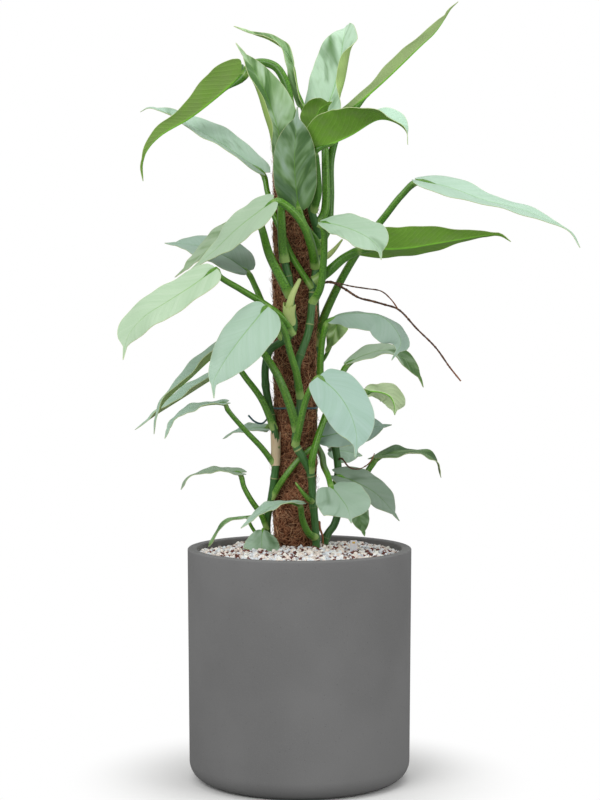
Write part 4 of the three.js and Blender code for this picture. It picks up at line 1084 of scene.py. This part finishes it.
def leaf_upper_finish(colours, sizes):
    finish = Finish("leaf_upper", roughness=0.45, specular=0.4)
    across, along, seed = finish.painted("leaf_place")
    from_rim, rib_reach, _ = finish.painted("leaf_edge")
    bloom, tone, _ = finish.painted("leaf_tint")
    swept = vein_sweep(finish, across, along)
    flow = finish.vector(finish.times(across, 0.7), finish.times(swept, 0.6), seed)
    clouds = finish.noise(0.045, flow, 2.0, 0.5, 0.6)
    drawn = finish.vector(finish.times(across, 0.12), swept, seed)
    streaks = finish.noise(0.07, drawn, 4.0, 0.6)
    green = finish.mix(finish.step(clouds, 0.36, 0.64), colours.deep, colours.green)
    green = finish.mix(finish.times(finish.step(streaks, 0.45, 0.8), 0.3), green, colours.silver)
    paler = finish.times(finish.step(streaks, 0.3, 0.8), 0.45)
    silver = finish.mix(paler, colours.silver, colours.frost)
    cover = finish.plus(finish.minus(clouds, 0.5), finish.minus(bloom, 0.5))
    colour = finish.mix(finish.step(cover, -0.12, 0.22), green, silver)
    vein = vein_lines(finish, across, along, sizes.vein_spacing / MM)
    thin = finish.fade(vein, 0.09, 0.0)
    colour = finish.wash(colour, colours.green, thin, 0.09)
    middle = finish.fade(rib_reach, 0.9, 0.3)
    colour = finish.wash(colour, colours.stalk, middle, 0.5)
    colour = blade_colour(finish, colour, colours, from_rim, finish.plus(tone, 1.0))
    return finish.done(colour, finish.bump(finish.step(vein, 0.0, 0.3), 0.0004, 0.25))


def leaf_under_finish(colours, sizes):
    finish = Finish("leaf_under", roughness=0.6, specular=0.22)
    across, along, seed = finish.painted("leaf_place")
    from_rim, rib_reach, _ = finish.painted("leaf_edge")
    _, tone, under = finish.painted("leaf_tint")
    mottle = finish.minus(finish.noise(0.05, finish.vector(across, along, seed), 4.0, 0.6), 0.5)
    greener = finish.plus(under, finish.times(mottle, 0.5))
    colour = finish.mix(greener, colours.under_pale, colours.under_green)
    vein = vein_lines(finish, across, along, sizes.vein_spacing / MM)
    thin = finish.fade(vein, 0.14, 0.0)
    colour = finish.wash(colour, colours.stalk_pale, thin, 0.11)
    middle = finish.fade(rib_reach, 1.3, 0.6)
    colour = finish.mix(middle, colour, colours.stalk)
    sheen = finish.plus(finish.times(mottle, 0.7), 1.0)
    colour = blade_colour(finish, colour, colours, from_rim, finish.plus(tone, sheen))
    return finish.done(colour, finish.bump(finish.fade(vein, 0.3, 0.0), 0.0004, 0.5))


def leaf_margin_finish(colours):
    finish = Finish("leaf_margin", roughness=0.5)
    across, along, seed = finish.painted("leaf_place")
    mottle = finish.noise(0.2, finish.vector(across, along, seed))
    return finish.done(finish.mix(mottle, colours.margin, colours.stalk_pale))


def stalk_finish(colours):
    finish = Finish("leaf_stalk", roughness=0.3, specular=0.5)
    turn, walked, left = finish.painted("leaf_place")
    around = finish.size(turn)
    grain = finish.lines_along(turn, walked, 9.0, 0.03, left, 0.65)
    colour = finish.mix(finish.step(grain, 0.3, 0.72), colours.stalk_dark, colours.stalk)
    # Painted shade: the underside of the stalk is darkened halfway towards the stalk shade green.
    under = finish.times(finish.step(around, 0.3, 0.8), 0.5)
    colour = finish.mix(under, colour, colours.stalk_dark)
    edges = finish.fade(finish.size(finish.minus(around, 0.23)), 0.05, 0.01)
    colour = finish.wash(colour, colours.stalk_pale, edges, 0.22)
    foot = finish.fade(walked, 16.0, 7.0)
    joint = finish.fade(finish.size(finish.minus(left, 3.0)), 5.0, 0.5)
    colour = finish.wash(colour, colours.stalk_pale, foot, 0.7)
    colour = finish.wash(colour, colours.stalk_pale, joint, 0.4)
    return finish.done(colour, finish.bump(grain, 0.0003, 0.4))


def sheath_finish(name, pale, line):
    """Rolled or wrapped leaf tissue with fine lines along it."""
    finish = Finish(name, roughness=0.5, specular=0.3)
    turn, walked, _ = finish.painted("leaf_place")
    lines = finish.lines_along(turn, walked, 10.0, 0.05, 0.0, 0.6)
    colour = finish.mix(finish.times(finish.step(lines, 0.45, 0.8), 0.45), pale, line)
    return finish.done(colour, finish.bump(lines, 0.0004, 0.5))


def stem_finish(colours):
    finish = Finish("stem_bark", roughness=0.4)
    turn, walked, node = finish.painted("stem_place")
    grain = finish.lines_along(turn, walked, 12.0, 0.06, 0.0, 0.65)
    colour = finish.mix(finish.step(grain, 0.3, 0.7), colours.stalk_dark, colours.stem)
    ring = finish.fade(node, 1.6, 0.5)
    colour = finish.wash(colour, colours.scar, ring, 0.8)
    normal = finish.bump(grain, 0.0008, 0.6)
    return finish.done(colour, finish.bump(ring, 0.0006, 0.8, normal))


def strand_finish(name, dark, middle, light):
    """Strands or grains that each have their own shade, painted as one value."""
    finish = Finish(name, roughness=0.85, specular=0.25)
    own = finish.value("own_shade")
    mottle = finish.noise(300.0, finish.place(), 3.0)
    colour = finish.mix(finish.step(own, 0.0, 0.55), dark, middle)
    colour = finish.mix(finish.step(own, 0.5, 1.0), colour, light)
    colour = finish.wash(colour, dark, mottle, 0.18)
    return finish.done(colour, finish.bump(mottle, 0.0003, 0.5))


def coir_mat_finish(colours):
    finish = Finish("coir_mat", roughness=0.95, specular=0.1)
    # Painted shade: the mat shows only in the gaps between the fibres, so it is coloured towards dark coir.
    tangle_and_shade = finish.noise(160.0, finish.place(), 6.0, 0.7, 1.5)
    colour = finish.mix(finish.step(tangle_and_shade, 0.42, 0.7), colours.coir_dark, colours.coir)
    return finish.done(colour, finish.bump(tangle_and_shade, 0.002, 1.0))


def pot_finish(colours):
    finish = Finish("pot_clay", roughness=0.78, specular=0.3)
    clouds = finish.noise(6.0, finish.place(), 3.0, 0.5)
    speckle = finish.noise(900.0, finish.place(), 2.0, 0.6)
    lighter = scaled(colours.pot, 1.14)
    colour = finish.mix(finish.step(clouds, 0.3, 0.7), scaled(colours.pot, 0.86), colours.pot)
    colour = finish.mix(finish.times(finish.step(speckle, 0.5, 0.75), 0.5), colour, lighter)
    # Painted shade: the pinholes are darkened towards half the pot's grey.
    pits = finish.node("ShaderNodeTexVoronoi", {"Vector": finish.place(), "Scale": 120.0})
    pinholes = finish.fade(pits.outputs["Distance"], 0.12, 0.05)
    colour = finish.wash(colour, scaled(colours.pot, 0.5), pinholes, 0.35)
    normal = finish.bump(speckle, 0.0003, 0.5)
    normal = finish.bump(finish.fade(pinholes, 1.0, 0.0), 0.0004, 0.5, normal)
    return finish.done(colour, normal)


def wire_finish(colours):
    finish = Finish("wire_coating", roughness=0.4)
    scuffs = finish.noise(400.0, finish.place(), 3.0)
    scuffed = scaled(colours.wire, 2.2, 0.02)
    return finish.done(finish.mix(finish.step(scuffs, 0.5, 0.8), colours.wire, scuffed))


def gauge_finish(colours):
    finish = Finish("gauge_plastic", roughness=0.3, subsurface=0.15, subsurface_scale=0.003)
    haze = finish.noise(150.0, finish.place(), 2.0)
    colour = finish.mix(haze, colours.gauge, scaled(colours.gauge, 0.9))
    return finish.done(colour, finish.bump(haze, 0.0001, 0.4))


def mark_finish(colours):
    finish = Finish("gauge_mark", roughness=0.45)
    worn = finish.noise(500.0, finish.place(), 3.0)
    return finish.done(finish.mix(finish.step(worn, 0.4, 0.8), colours.mark, colours.gauge))


def wood_finish(colours):
    finish = Finish("stake_wood", roughness=0.75)
    grain = finish.node("ShaderNodeTexWave", {
        "Vector": finish.place(), "Scale": 90.0, "Distortion": 4.0, "Detail": 3.0}).outputs["Fac"]
    colour = finish.mix(grain, colours.wood, scaled(colours.wood, 0.6))
    return finish.done(colour, finish.bump(grain, 0.0004, 0.5))


def root_finish(colours):
    finish = Finish("root_bark", roughness=0.85)
    _, _, left = finish.painted("stem_place")
    bark = finish.noise(600.0, finish.place(), 4.0, 0.7)
    colour = finish.mix(finish.step(bark, 0.45, 0.8), colours.root, colours.coir)
    colour = finish.mix(finish.fade(left, 40.0, 5.0), colour, colours.root_tip)
    return finish.done(colour, finish.bump(bark, 0.0005, 0.8))


def floor_finish(settings):
    """Pale floor that fades into the backdrop away from the pot."""
    finish = Finish("floor_paper", roughness=0.9, specular=0.1)
    place = finish.place()
    grain = finish.noise(400.0, place, 2.0)
    seen = finish.node("ShaderNodeLightPath").outputs["Is Camera Ray"]
    paper = finish.mix(finish.times(grain, 0.1), settings.floor, (1, 1, 1))
    finish.done(finish.mix(seen, scaled(settings.floor, settings.bounce), paper))
    glow = finish.node("ShaderNodeEmission", {"Color": (1, 1, 1), "Strength": settings.backdrop})
    away = finish.node("ShaderNodeVectorMath", {0: place}, operation="LENGTH").outputs["Value"]
    join = finish.node("ShaderNodeMixShader", {
        0: finish.times(seen, finish.step(away, settings.clear_from, settings.clear_to)),
        1: finish.shader.outputs[0], 2: glow.outputs[0]})
    finish.links.new(join.outputs[0], finish.nodes["Material Output"].inputs["Surface"])
    return finish.material


# Gravel
def ball(subdivisions):
    """Points and faces of a small round mesh of radius one."""
    mesh = bmesh.new()
    bmesh.ops.create_icosphere(mesh, subdivisions=subdivisions, radius=1)
    points = np.array([vertex.co[:] for vertex in mesh.verts])
    faces = [tuple(vertex.index for vertex in face.verts) for face in mesh.faces]
    mesh.free()
    return points, faces


def turned(points, draws):
    """Points turned about a random axis."""
    axis = unit(draws.normal(size=3))
    angle = draws.uniform(0, 2 * np.pi)
    return (points * np.cos(angle) + np.cross(axis, points) * np.sin(angle)
            + axis * (points @ axis)[:, None] * (1 - np.cos(angle)))


def add_grain(shape, round_grain, centre, width, angular, draws):
    """One gravel grain: rounded, or chipped flat on several sides."""
    points, faces = round_grain
    points = points * draws.uniform(*GRAIN["stretch"], 3)
    if angular:
        for _ in range(GRAIN["chips"]):
            way = unit(draws.normal(size=3))
            depth = np.maximum(points @ way - draws.uniform(*GRAIN["chip_from"]), 0)
            points = points - way * depth[:, None]
    else:
        points = points * (1 + GRAIN["rough"] * draws.normal(size=(len(points), 1)))
    points = turned(points, draws) * width / 2 + centre
    shape.add(points, faces, own_shade=np.full(len(points), draws.uniform()))


# Operators
class PLANT_OT_pot(bpy.types.Operator):
    """Turn the fine-grained grey pot with its rounded foot and lip"""
    bl_idname = "plant.add_pot"
    bl_label = "Pot"

    def execute(self, context):
        colours = context.scene.plant_colours
        inner = POT_RADIUS - POT["wall"]
        foot_radius = POT_RADIUS - POT["foot_inset"]
        foot_edge, lip_edge = POT["foot_edge"], POT["lip_edge"]
        wall = (POT_FOOT + foot_edge, POT_TOP - lip_edge)
        profile = self.quarter(foot_radius - foot_edge, wall[0], foot_edge, -90, POT["foot_steps"])
        for i in range(1, POT["wall_steps"]):
            share = i / POT["wall_steps"]
            profile.append((between((foot_radius, POT_RADIUS), share), between(wall, share)))
        profile += self.quarter(POT_RADIUS - lip_edge, wall[1], lip_edge, 0, POT["lip_steps"])
        profile += self.quarter(inner + lip_edge, wall[1], lip_edge, 90, POT["lip_steps"])
        profile.append((inner, POT["floor"]))
        sides = POT["sides"]
        turns = full_turn(sides)
        points = [(radius * math.cos(t), radius * math.sin(t), height)
                  for radius, height in profile for t in turns]
        faces = band_faces(len(profile), sides)
        foot = len(points)
        last = foot - sides
        points += [(0, 0, POT_FOOT), (0, 0, POT["floor"])]
        for k in range(sides):
            ahead = (k + 1) % sides
            faces.append((foot, ahead, k))
            faces.append((last + k, last + ahead, foot + 1))
        shape = Shape()
        shape.add(points, faces)
        shape.piece("pot_turned", [pot_finish(colours)], "pot", ["pot"])
        return {"FINISHED"}

    @staticmethod
    def quarter(middle, height, radius, first, steps):
        """A quarter circle of the pot's profile, on from its first angle in degrees."""
        turns = [math.radians(first + 90 * i / steps) for i in range(steps + 1)]
        return [(middle + radius * math.cos(turn), height + radius * math.sin(turn)) for turn in turns]


class PLANT_OT_gravel(bpy.types.Operator):
    """Scatter cream, pale and dark grains over the gravel bed"""
    bl_idname = "plant.add_gravel"
    bl_label = "Gravel"

    def execute(self, context):
        sizes, colours = context.scene.plant_sizes, context.scene.plant_colours
        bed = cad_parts["gravel_bed"]
        bed.data.materials[0] = strand_finish(
            "gravel_shadow", colours.maroon, colours.scar, colours.cream)
        tree = BVHTree.FromPolygons(
            [vertex.co for vertex in bed.data.vertices], [face.vertices[:] for face in bed.data.polygons])
        draws = np.random.default_rng(SEEDS["gravel"])
        round_grain = ball(1)
        shapes = {kind: Shape() for kind in GRAINS}
        kinds = list(GRAINS)
        shares = [share for share, _, _ in GRAINS.values()]
        step = sizes.grain_spacing / MM
        reach = GRAVEL["radius"]
        astray = GRAVEL["astray"]
        rows = int(reach / (step * GRAVEL["row"])) + 1
        columns = rows + 8
        for i in range(-rows, rows + 1):
            for j in range(-columns, columns + 1):
                x = (j + 0.5 * (i % 2)) * step + draws.uniform(-astray, astray)
                y = i * step * GRAVEL["row"] + draws.uniform(-astray, astray)
                kind = draws.choice(kinds, p=shares)
                if math.hypot(x, y) > reach or self.taken(x, y):
                    continue
                hit = tree.ray_cast((x * MM, y * MM, 1.0), (0, 0, -1))[0]
                if hit is None or hit[2] / MM < GRAVEL["lowest"]:
                    continue
                _, widths, angular = GRAINS[kind]
                width = sizes.grain / MM * draws.uniform(*widths)
                height = hit[2] / MM + draws.uniform(-GRAVEL["sunk"], GRAVEL["proud"])
                centre = np.array([x, y, height])
                add_grain(shapes[kind], round_grain, centre, width, angular, draws)
        for kind, (_, _, angular) in GRAINS.items():
            colour = getattr(colours, kind)
            finish = strand_finish(f"gravel_{kind}", scaled(colour, 0.72), colour, scaled(colour, 1.25))
            crease = GRAIN["crease"] if angular else 0
            shapes[kind].piece(f"gravel_grains_{kind}", [finish], "gravel", crease=crease)
        return {"FINISHED"}

    @staticmethod
    def taken(x, y):
        """True where something else stands in the gravel."""
        clear = GRAVEL["clear"]
        if math.hypot(x - POLE_X, y - POLE_Y) < POLE["radius"] + clear:
            return True
        if abs(x - GAUGE_X) < GAUGE["clear_x"] and abs(y - GAUGE_Y) < GAUGE["clear_y"]:
            return True
        feet = [way[0] for way in STEMS.values()]
        return any(math.hypot(x - foot[0], y - foot[1]) < STEM["radius"] + clear for foot in feet)


class PLANT_OT_gauge(bpy.types.Operator):
    """Make the water gauge: a clear window with two yellow marks over its float tube"""
    bl_idname = "plant.add_gauge"
    bl_label = "Water gauge"

    def execute(self, context):
        colours = context.scene.plant_colours
        shape = Shape()
        self.add_block(shape, GAUGE, GAUGE_TOP - GAUGE["window"], GAUGE_TOP, 0)
        for low, high in GAUGE_MARK["below_top"]:
            self.add_block(shape, GAUGE_MARK, GAUGE_TOP - low, GAUGE_TOP - high, 1)
        shape.piece("gauge_window", [gauge_finish(colours), mark_finish(colours)], "gauge", ["level_gauge"])
        return {"FINISHED"}

    @staticmethod
    def add_block(shape, block, low, high, slot):
        """An upright block with rounded edges, from its width, depth and edge."""
        mesh = bmesh.new()
        bmesh.ops.create_cube(mesh, size=1)
        for vertex in mesh.verts:
            x, y, z = vertex.co
            vertex.co = (x * block["width"], y * block["depth"], z * (high - low))
        bmesh.ops.bevel(
            mesh, geom=mesh.edges[:], offset=block["edge"], segments=3, profile=0.5, affect="EDGES")
        points = np.array([vertex.co[:] for vertex in mesh.verts]) + (GAUGE_X, GAUGE_Y, (low + high) / 2)
        faces = [tuple(vertex.index for vertex in face.verts) for face in mesh.faces]
        mesh.free()
        shape.add(points, faces, slot)


def lumps(turn, height):
    """How far the coir swells or sinks at a place on the pole, in millimetres."""
    wide = np.sin(2 * turn + height / 31) * np.sin(height / 17)
    small = np.sin(5 * turn - height / 11)
    return POLE["lump"] * (wide + 0.4 * small)


def away_from_tie(height):
    """Near nothing under the wire tie, and one away from it."""
    return 1 - 0.92 * bulge(height, TIE["height"], TIE["hold"])


def round_pole(radius, turn, height):
    """Places round the pole's axis."""
    places = (POLE_X + radius * np.cos(turn), POLE_Y + radius * np.sin(turn), height)
    return np.stack(np.broadcast_arrays(*places), axis=-1)


class PLANT_OT_pole(bpy.types.Operator):
    """Wrap the stake in a rough coir mat and lay fibres over it"""
    bl_idname = "plant.add_pole"
    bl_label = "Coir pole"

    def execute(self, context):
        sizes, colours = context.scene.plant_sizes, context.scene.plant_colours
        draws = np.random.default_rng(SEEDS["coir"])
        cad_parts["pole_stake"].data.materials[0] = wood_finish(colours)
        self.add_mat(draws, colours)
        finish = strand_finish("coir_fibre", colours.coir_dark, colours.coir, colours.coir_light)
        thick = sizes.fibre_thickness / MM / 2
        lying = self.fibres(draws, sizes.fibres, thick, FIBRES["reach"], FIBRES["stand"])
        lying.piece("coir_fibres", [finish], "coir", ["pole_coir"], crease=0)
        thin = thick * WISPS["thin"]
        loose = self.fibres(draws, sizes.wisps, thin, WISPS["reach"], WISPS["stand"])
        loose.piece("coir_wisps", [finish], "coir", crease=0)
        return {"FINISHED"}

    @staticmethod
    def add_mat(draws, colours):
        """The mat under the fibres: a rough tube with the stake's bore through it."""
        sides, rings = POLE["sides"], POLE["rings"]
        turns = full_turn(sides)
        heights = np.linspace(POLE["foot"], POLE_TOP - 1, rings)
        rough = draws.normal(size=(rings, sides)) * POLE["rough"]
        rough += lumps(turns[None], heights[:, None])
        radii = POLE["mat_radius"] + rough * away_from_tie(heights)[:, None]
        outside = round_pole(radii, turns[None], heights[:, None])
        bore = round_pole(POLE["bore"], turns[None], heights[[-1, 0], None])
        shape = Shape()
        shape.add(np.vstack([*outside, *bore]), band_faces(rings + 2, sides, looped=True))
        shape.piece("coir_mat", [coir_mat_finish(colours)], "coir", ["pole_coir"])

    @staticmethod
    def fibres(draws, count, thickness, reach, stand):
        """Curved fibres that lie on the pole, or stand off it by a little."""
        steps, sides = STRAND["steps"], STRAND["sides"]
        lowest, highest = POT_TOP - STRAND["below_rim"], POLE_TOP - STRAND["below_top"]
        start_turn = draws.uniform(0, 2 * np.pi, count)
        start_height = draws.uniform(lowest, highest, count)
        heading = draws.uniform(-np.pi, np.pi, count)
        bend = draws.normal(0, STRAND["bend"], count)
        long = draws.uniform(*reach, count)
        lift = stand * draws.uniform(0, 1, count) ** 2
        share = np.linspace(0, 1, steps)
        angle = heading[:, None] + bend[:, None] * share[None]
        run = np.cumsum(np.cos(angle), axis=1) / steps * long[:, None]
        rise = np.cumsum(np.sin(angle), axis=1) / steps * long[:, None]
        lowest_end, highest_end = lowest - STRAND["slack"], POLE_TOP - STRAND["clear_top"]
        height = np.clip(start_height[:, None] + rise, lowest_end, highest_end)
        turn = start_turn[:, None] + run / POLE["radius"]
        lifted = lift[:, None] * (share[None] * (2 - share[None]))
        bow = STRAND["bedding"] + lifted + lumps(turn, height)
        radius = POLE["radius"] + bow * away_from_tie(height)
        centres = round_pole(radius, turn, height)
        tangents = unit(np.gradient(centres, axis=1))
        outward = np.stack([np.cos(turn), np.sin(turn), np.zeros_like(turn)], axis=-1)
        first = unit(outward - tangents * np.sum(outward * tangents, axis=-1, keepdims=True))
        second = np.cross(tangents, first)
        corner = full_turn(sides)
        taper = (thickness * (1 - STRAND["thin"] * share ** 2))[None, :, None, None]
        rings = centres[:, :, None] + taper * (
            first[:, :, None] * np.cos(corner)[:, None] + second[:, :, None] * np.sin(corner)[:, None])
        per = steps * sides
        pattern = ring_faces(steps, sides)
        faces = [tuple(i * per + p for p in face) for i in range(count) for face in pattern]
        shape = Shape()
        shape.add(rings.reshape(-1, 3), faces, own_shade=np.repeat(draws.uniform(size=count), per))
        return shape


class PLANT_OT_tie(bpy.types.Operator):
    """Bend the coated wire round the pole, with its loose end"""
    bl_idname = "plant.add_tie"
    bl_label = "Wire tie"

    def execute(self, context):
        colours = context.scene.plant_colours
        steps, sides = TIE["steps"], TIE["sides"]
        turns = full_turn(steps)[:, None]
        around = full_turn(sides)[None]
        radius = TIE["radius"] + TIE["wire"] * np.cos(around)
        height = TIE["height"] + TIE["waver"] * np.sin(3 * turns) + TIE["wire"] * np.sin(around)
        shape = Shape()
        faces = [face[::-1] for face in band_faces(steps, sides, looped=True)]
        shape.add(round_pole(radius, turns, height).reshape(-1, 3), faces)
        marks = np.linspace(0, 1, TIE["end_steps"])
        end, _, _ = tube(Route(LOOSE_END), TIE["wire"], sides, marks)
        shape.add(end, ring_faces(len(marks), sides))
        shape.piece("tie_wire_coated", [wire_finish(colours)], "wire", ["tie_wire"])
        return {"FINISHED"}


class PLANT_OT_stems(bpy.types.Operator):
    """Grow the climbing stems with their swollen nodes"""
    bl_idname = "plant.add_stems"
    bl_label = "Stems"

    def execute(self, context):
        colours = context.scene.plant_colours
        finish = stem_finish(colours)
        for name, way in STEMS.items():
            route = Route(way)
            marks = np.linspace(0, 1, int(route.length / STEM["step"]))
            walked = marks * route.length
            nearest = np.abs((walked + STEM["internode"] / 2) % STEM["internode"] - STEM["internode"] / 2)
            swell = 1 + STEM["swell"] * bulge(nearest, 0, STEM["node_half"])
            ending = between((STEM["tip"], 1), smooth(0, STEM["node_half"], route.length - walked))
            sides = STEM["sides"]
            points, turn, along = tube(route, STEM["radius"] * swell * ending, sides, marks)
            place = np.stack([turn, along, np.repeat(nearest, sides)], axis=-1)
            shape = Shape()
            shape.add(points, ring_faces(len(marks), sides), stem_place=place)
            shape.piece(f"stem_{name}_bark", [finish], "stem", [f"stem_{name}"])
        return {"FINISHED"}


class PLANT_OT_leaves(bpy.types.Operator):
    """Grow every leaf: stalk, rib and a thin waved blade with silver bloom"""
    bl_idname = "plant.add_leaves"
    bl_label = "Leaves"

    def execute(self, context):
        sizes, colours = context.scene.plant_sizes, context.scene.plant_colours
        finishes = [
            leaf_upper_finish(colours, sizes), leaf_under_finish(colours, sizes),
            leaf_margin_finish(colours), stalk_finish(colours),
        ]
        draws = random.Random(SEEDS["leaves"])
        for name, leaf in LEAVES.items():
            stalk, rib_points = leaned_route(leaf)
            rib = Route(rib_points)
            shape = Shape()
            add_blade(shape, leaf, rib, sizes, draws.random())
            add_stalk(shape, leaf, stalk, rib)
            shape.piece(f"{name}_blade", finishes, "leaf_silver", [name])
        return {"FINISHED"}


class PLANT_OT_growth(bpy.types.Operator):
    """Grow the rolled shoots and sheaths"""
    bl_idname = "plant.add_growth"
    bl_label = "New growth"

    def execute(self, context):
        colours = context.scene.plant_colours
        finishes = {
            "stalk": stalk_finish(colours),
            "shoot": sheath_finish("shoot_skin", colours.shoot, colours.stalk),
            "dry": sheath_finish("dry_sheath", colours.sheath, colours.coir),
            "root": sheath_finish("dry_bud", colours.root_tip, colours.root),
        }
        for name, (finish, radii, way) in GROWTH.items():
            route = Route(way)
            marks = 1 - (1 - np.linspace(0, 1, SHOOT["rings"])) ** 1.8
            taper = between(radii, marks ** 1.4)
            short = 1 - np.minimum((1 - marks) * route.length / radii[1], 1)
            rounded = np.maximum(np.sqrt(1 - short ** 2), SHOOT["blunt"])
            points, turn, along = tube(route, taper * rounded, SHOOT["sides"], marks)
            place = way_along(turn, along, route.length)
            shape = Shape()
            shape.add(points, ring_faces(len(marks), SHOOT["sides"]), leaf_place=place)
            shape.piece(f"{name}_rolled", [finishes[finish]], "leaf_pale", in_frame(name))
        for name, (finish, radii, cover, facing, ragged, way) in WRAPS.items():
            shape = Shape()
            add_wrap(shape, Route(way), radii, cover, facing, ragged)
            shape.piece(name, [finishes[finish]], "leaf_pale")
        return {"FINISHED"}


class PLANT_OT_roots(bpy.types.Operator):
    """Grow the thin aerial roots"""
    bl_idname = "plant.add_roots"
    bl_label = "Aerial roots"

    def execute(self, context):
        colours = context.scene.plant_colours
        finish = root_finish(colours)
        draws = np.random.default_rng(SEEDS["roots"])
        for name, branches in ROOTS.items():
            shape = Shape()
            for radii, way in branches:
                route = Route(way)
                marks = np.linspace(0, 1, int(route.length / ROOT["step"]))
                knots = 1 + ROOT["knots"] * draws.normal(size=len(marks))
                taper = between(radii, marks)
                points, turn, along = tube(route, taper * knots, ROOT["sides"], marks)
                place = way_along(turn, along, route.length)
                shape.add(points, ring_faces(len(marks), ROOT["sides"]), stem_place=place)
            shape.piece(f"{name}_bark", [finish], "root", in_frame(name))
        return {"FINISHED"}


class PLANT_OT_stage(bpy.types.Operator):
    """Lay the pale floor and set the soft light and the camera"""
    bl_idname = "plant.set_stage"
    bl_label = "Stage"

    def execute(self, context):
        settings = context.scene.plant_stage
        self.add_floor(settings)
        self.add_lights(context.scene, settings)
        self.add_camera(context.scene)
        return {"FINISHED"}

    @staticmethod
    def add_floor(settings):
        half = settings.floor_size / 2
        mesh = bpy.data.meshes.new("floor")
        corners = [(-half, -half, 0), (half, -half, 0), (half, half, 0), (-half, half, 0)]
        mesh.from_pydata(corners, [], [(0, 1, 2, 3)])
        mesh.materials.append(floor_finish(settings))
        floor = bpy.data.objects.new("floor", mesh)
        bpy.context.scene.collection.objects.link(floor)

    @staticmethod
    def add_lights(scene, settings):
        world = bpy.data.worlds.new("studio")
        world.use_nodes = True
        nodes, links = world.node_tree.nodes, world.node_tree.links
        sky = nodes["Background"]
        sky.inputs["Color"].default_value = (1, 1, 1, 1)
        seen = nodes.new("ShaderNodeLightPath").outputs["Is Camera Ray"]
        strength = nodes.new("ShaderNodeMapRange")
        strength.inputs["To Min"].default_value = settings.sky
        strength.inputs["To Max"].default_value = settings.backdrop
        links.new(seen, strength.inputs["Value"])
        links.new(strength.outputs[0], sky.inputs["Strength"])
        scene.world = world
        aim = (CAD_BOX[0] + CAD_BOX[1]) / 2
        for name, (side, place) in LAMPS.items():
            light = bpy.data.lights.new(name, "AREA")
            light.energy = getattr(settings, name)
            light.size = side
            lamp = bpy.data.objects.new(name, light)
            lamp.location = place
            lamp.rotation_euler = (aim - lamp.location).to_track_quat("-Z", "Y").to_euler()
            scene.collection.objects.link(lamp)
        scene.view_settings.view_transform = "Standard"

    @staticmethod
    def add_camera(scene):
        camera = bpy.data.objects.new("camera", bpy.data.cameras.new("camera"))
        camera.data.sensor_width = SENSOR_MM
        camera.data.lens = PHOTO_FOCAL_PX * SENSOR_MM / PHOTO_LONG_SIDE_PX
        place = (FRONT_VIEW["aside"], -FRONT_VIEW["distance"], FRONT_VIEW["height"])
        camera.location = tuple(value * MM for value in place)
        camera.rotation_euler = (math.radians(90 - FRONT_VIEW["pitch"]), 0, 0)
        scene.collection.objects.link(camera)
        scene.camera = camera


class PLANT_PT_panel(bpy.types.Panel):
    """Lists the steps and settings of the plant"""
    bl_idname = "PLANT_PT_panel"
    bl_label = "Potted philodendron"
    bl_space_type = "VIEW_3D"
    bl_region_type = "UI"
    bl_category = "Plant"

    def draw(self, context):
        for step in STEPS:
            self.layout.operator(step.bl_idname)
        for settings in (context.scene.plant_sizes, context.scene.plant_colours, context.scene.plant_stage):
            box = self.layout.box()
            for name in settings.__annotations__:
                box.prop(settings, name)


STEPS = (
    PLANT_OT_stage, PLANT_OT_pot, PLANT_OT_gravel, PLANT_OT_gauge, PLANT_OT_pole, PLANT_OT_tie,
    PLANT_OT_stems, PLANT_OT_leaves, PLANT_OT_growth, PLANT_OT_roots,
)
CLASSES = (PlantSizes, PlantColours, StageSettings, *STEPS, PLANT_PT_panel)


def register():
    for cls in CLASSES:
        bpy.utils.register_class(cls)
    bpy.types.Scene.plant_sizes = PointerProperty(type=PlantSizes)
    bpy.types.Scene.plant_colours = PointerProperty(type=PlantColours)
    bpy.types.Scene.plant_stage = PointerProperty(type=StageSettings)


def unregister():
    del bpy.types.Scene.plant_stage
    del bpy.types.Scene.plant_colours
    del bpy.types.Scene.plant_sizes
    for cls in reversed(CLASSES):
        bpy.utils.unregister_class(cls)


def main():
    register()
    bpy.ops.plant.set_stage()
    bpy.ops.plant.add_pot()
    bpy.ops.plant.add_gravel()
    bpy.ops.plant.add_gauge()
    bpy.ops.plant.add_pole()
    bpy.ops.plant.add_tie()
    bpy.ops.plant.add_stems()
    bpy.ops.plant.add_leaves()
    bpy.ops.plant.add_growth()
    bpy.ops.plant.add_roots()


if __name__ == "__main__":
    main()
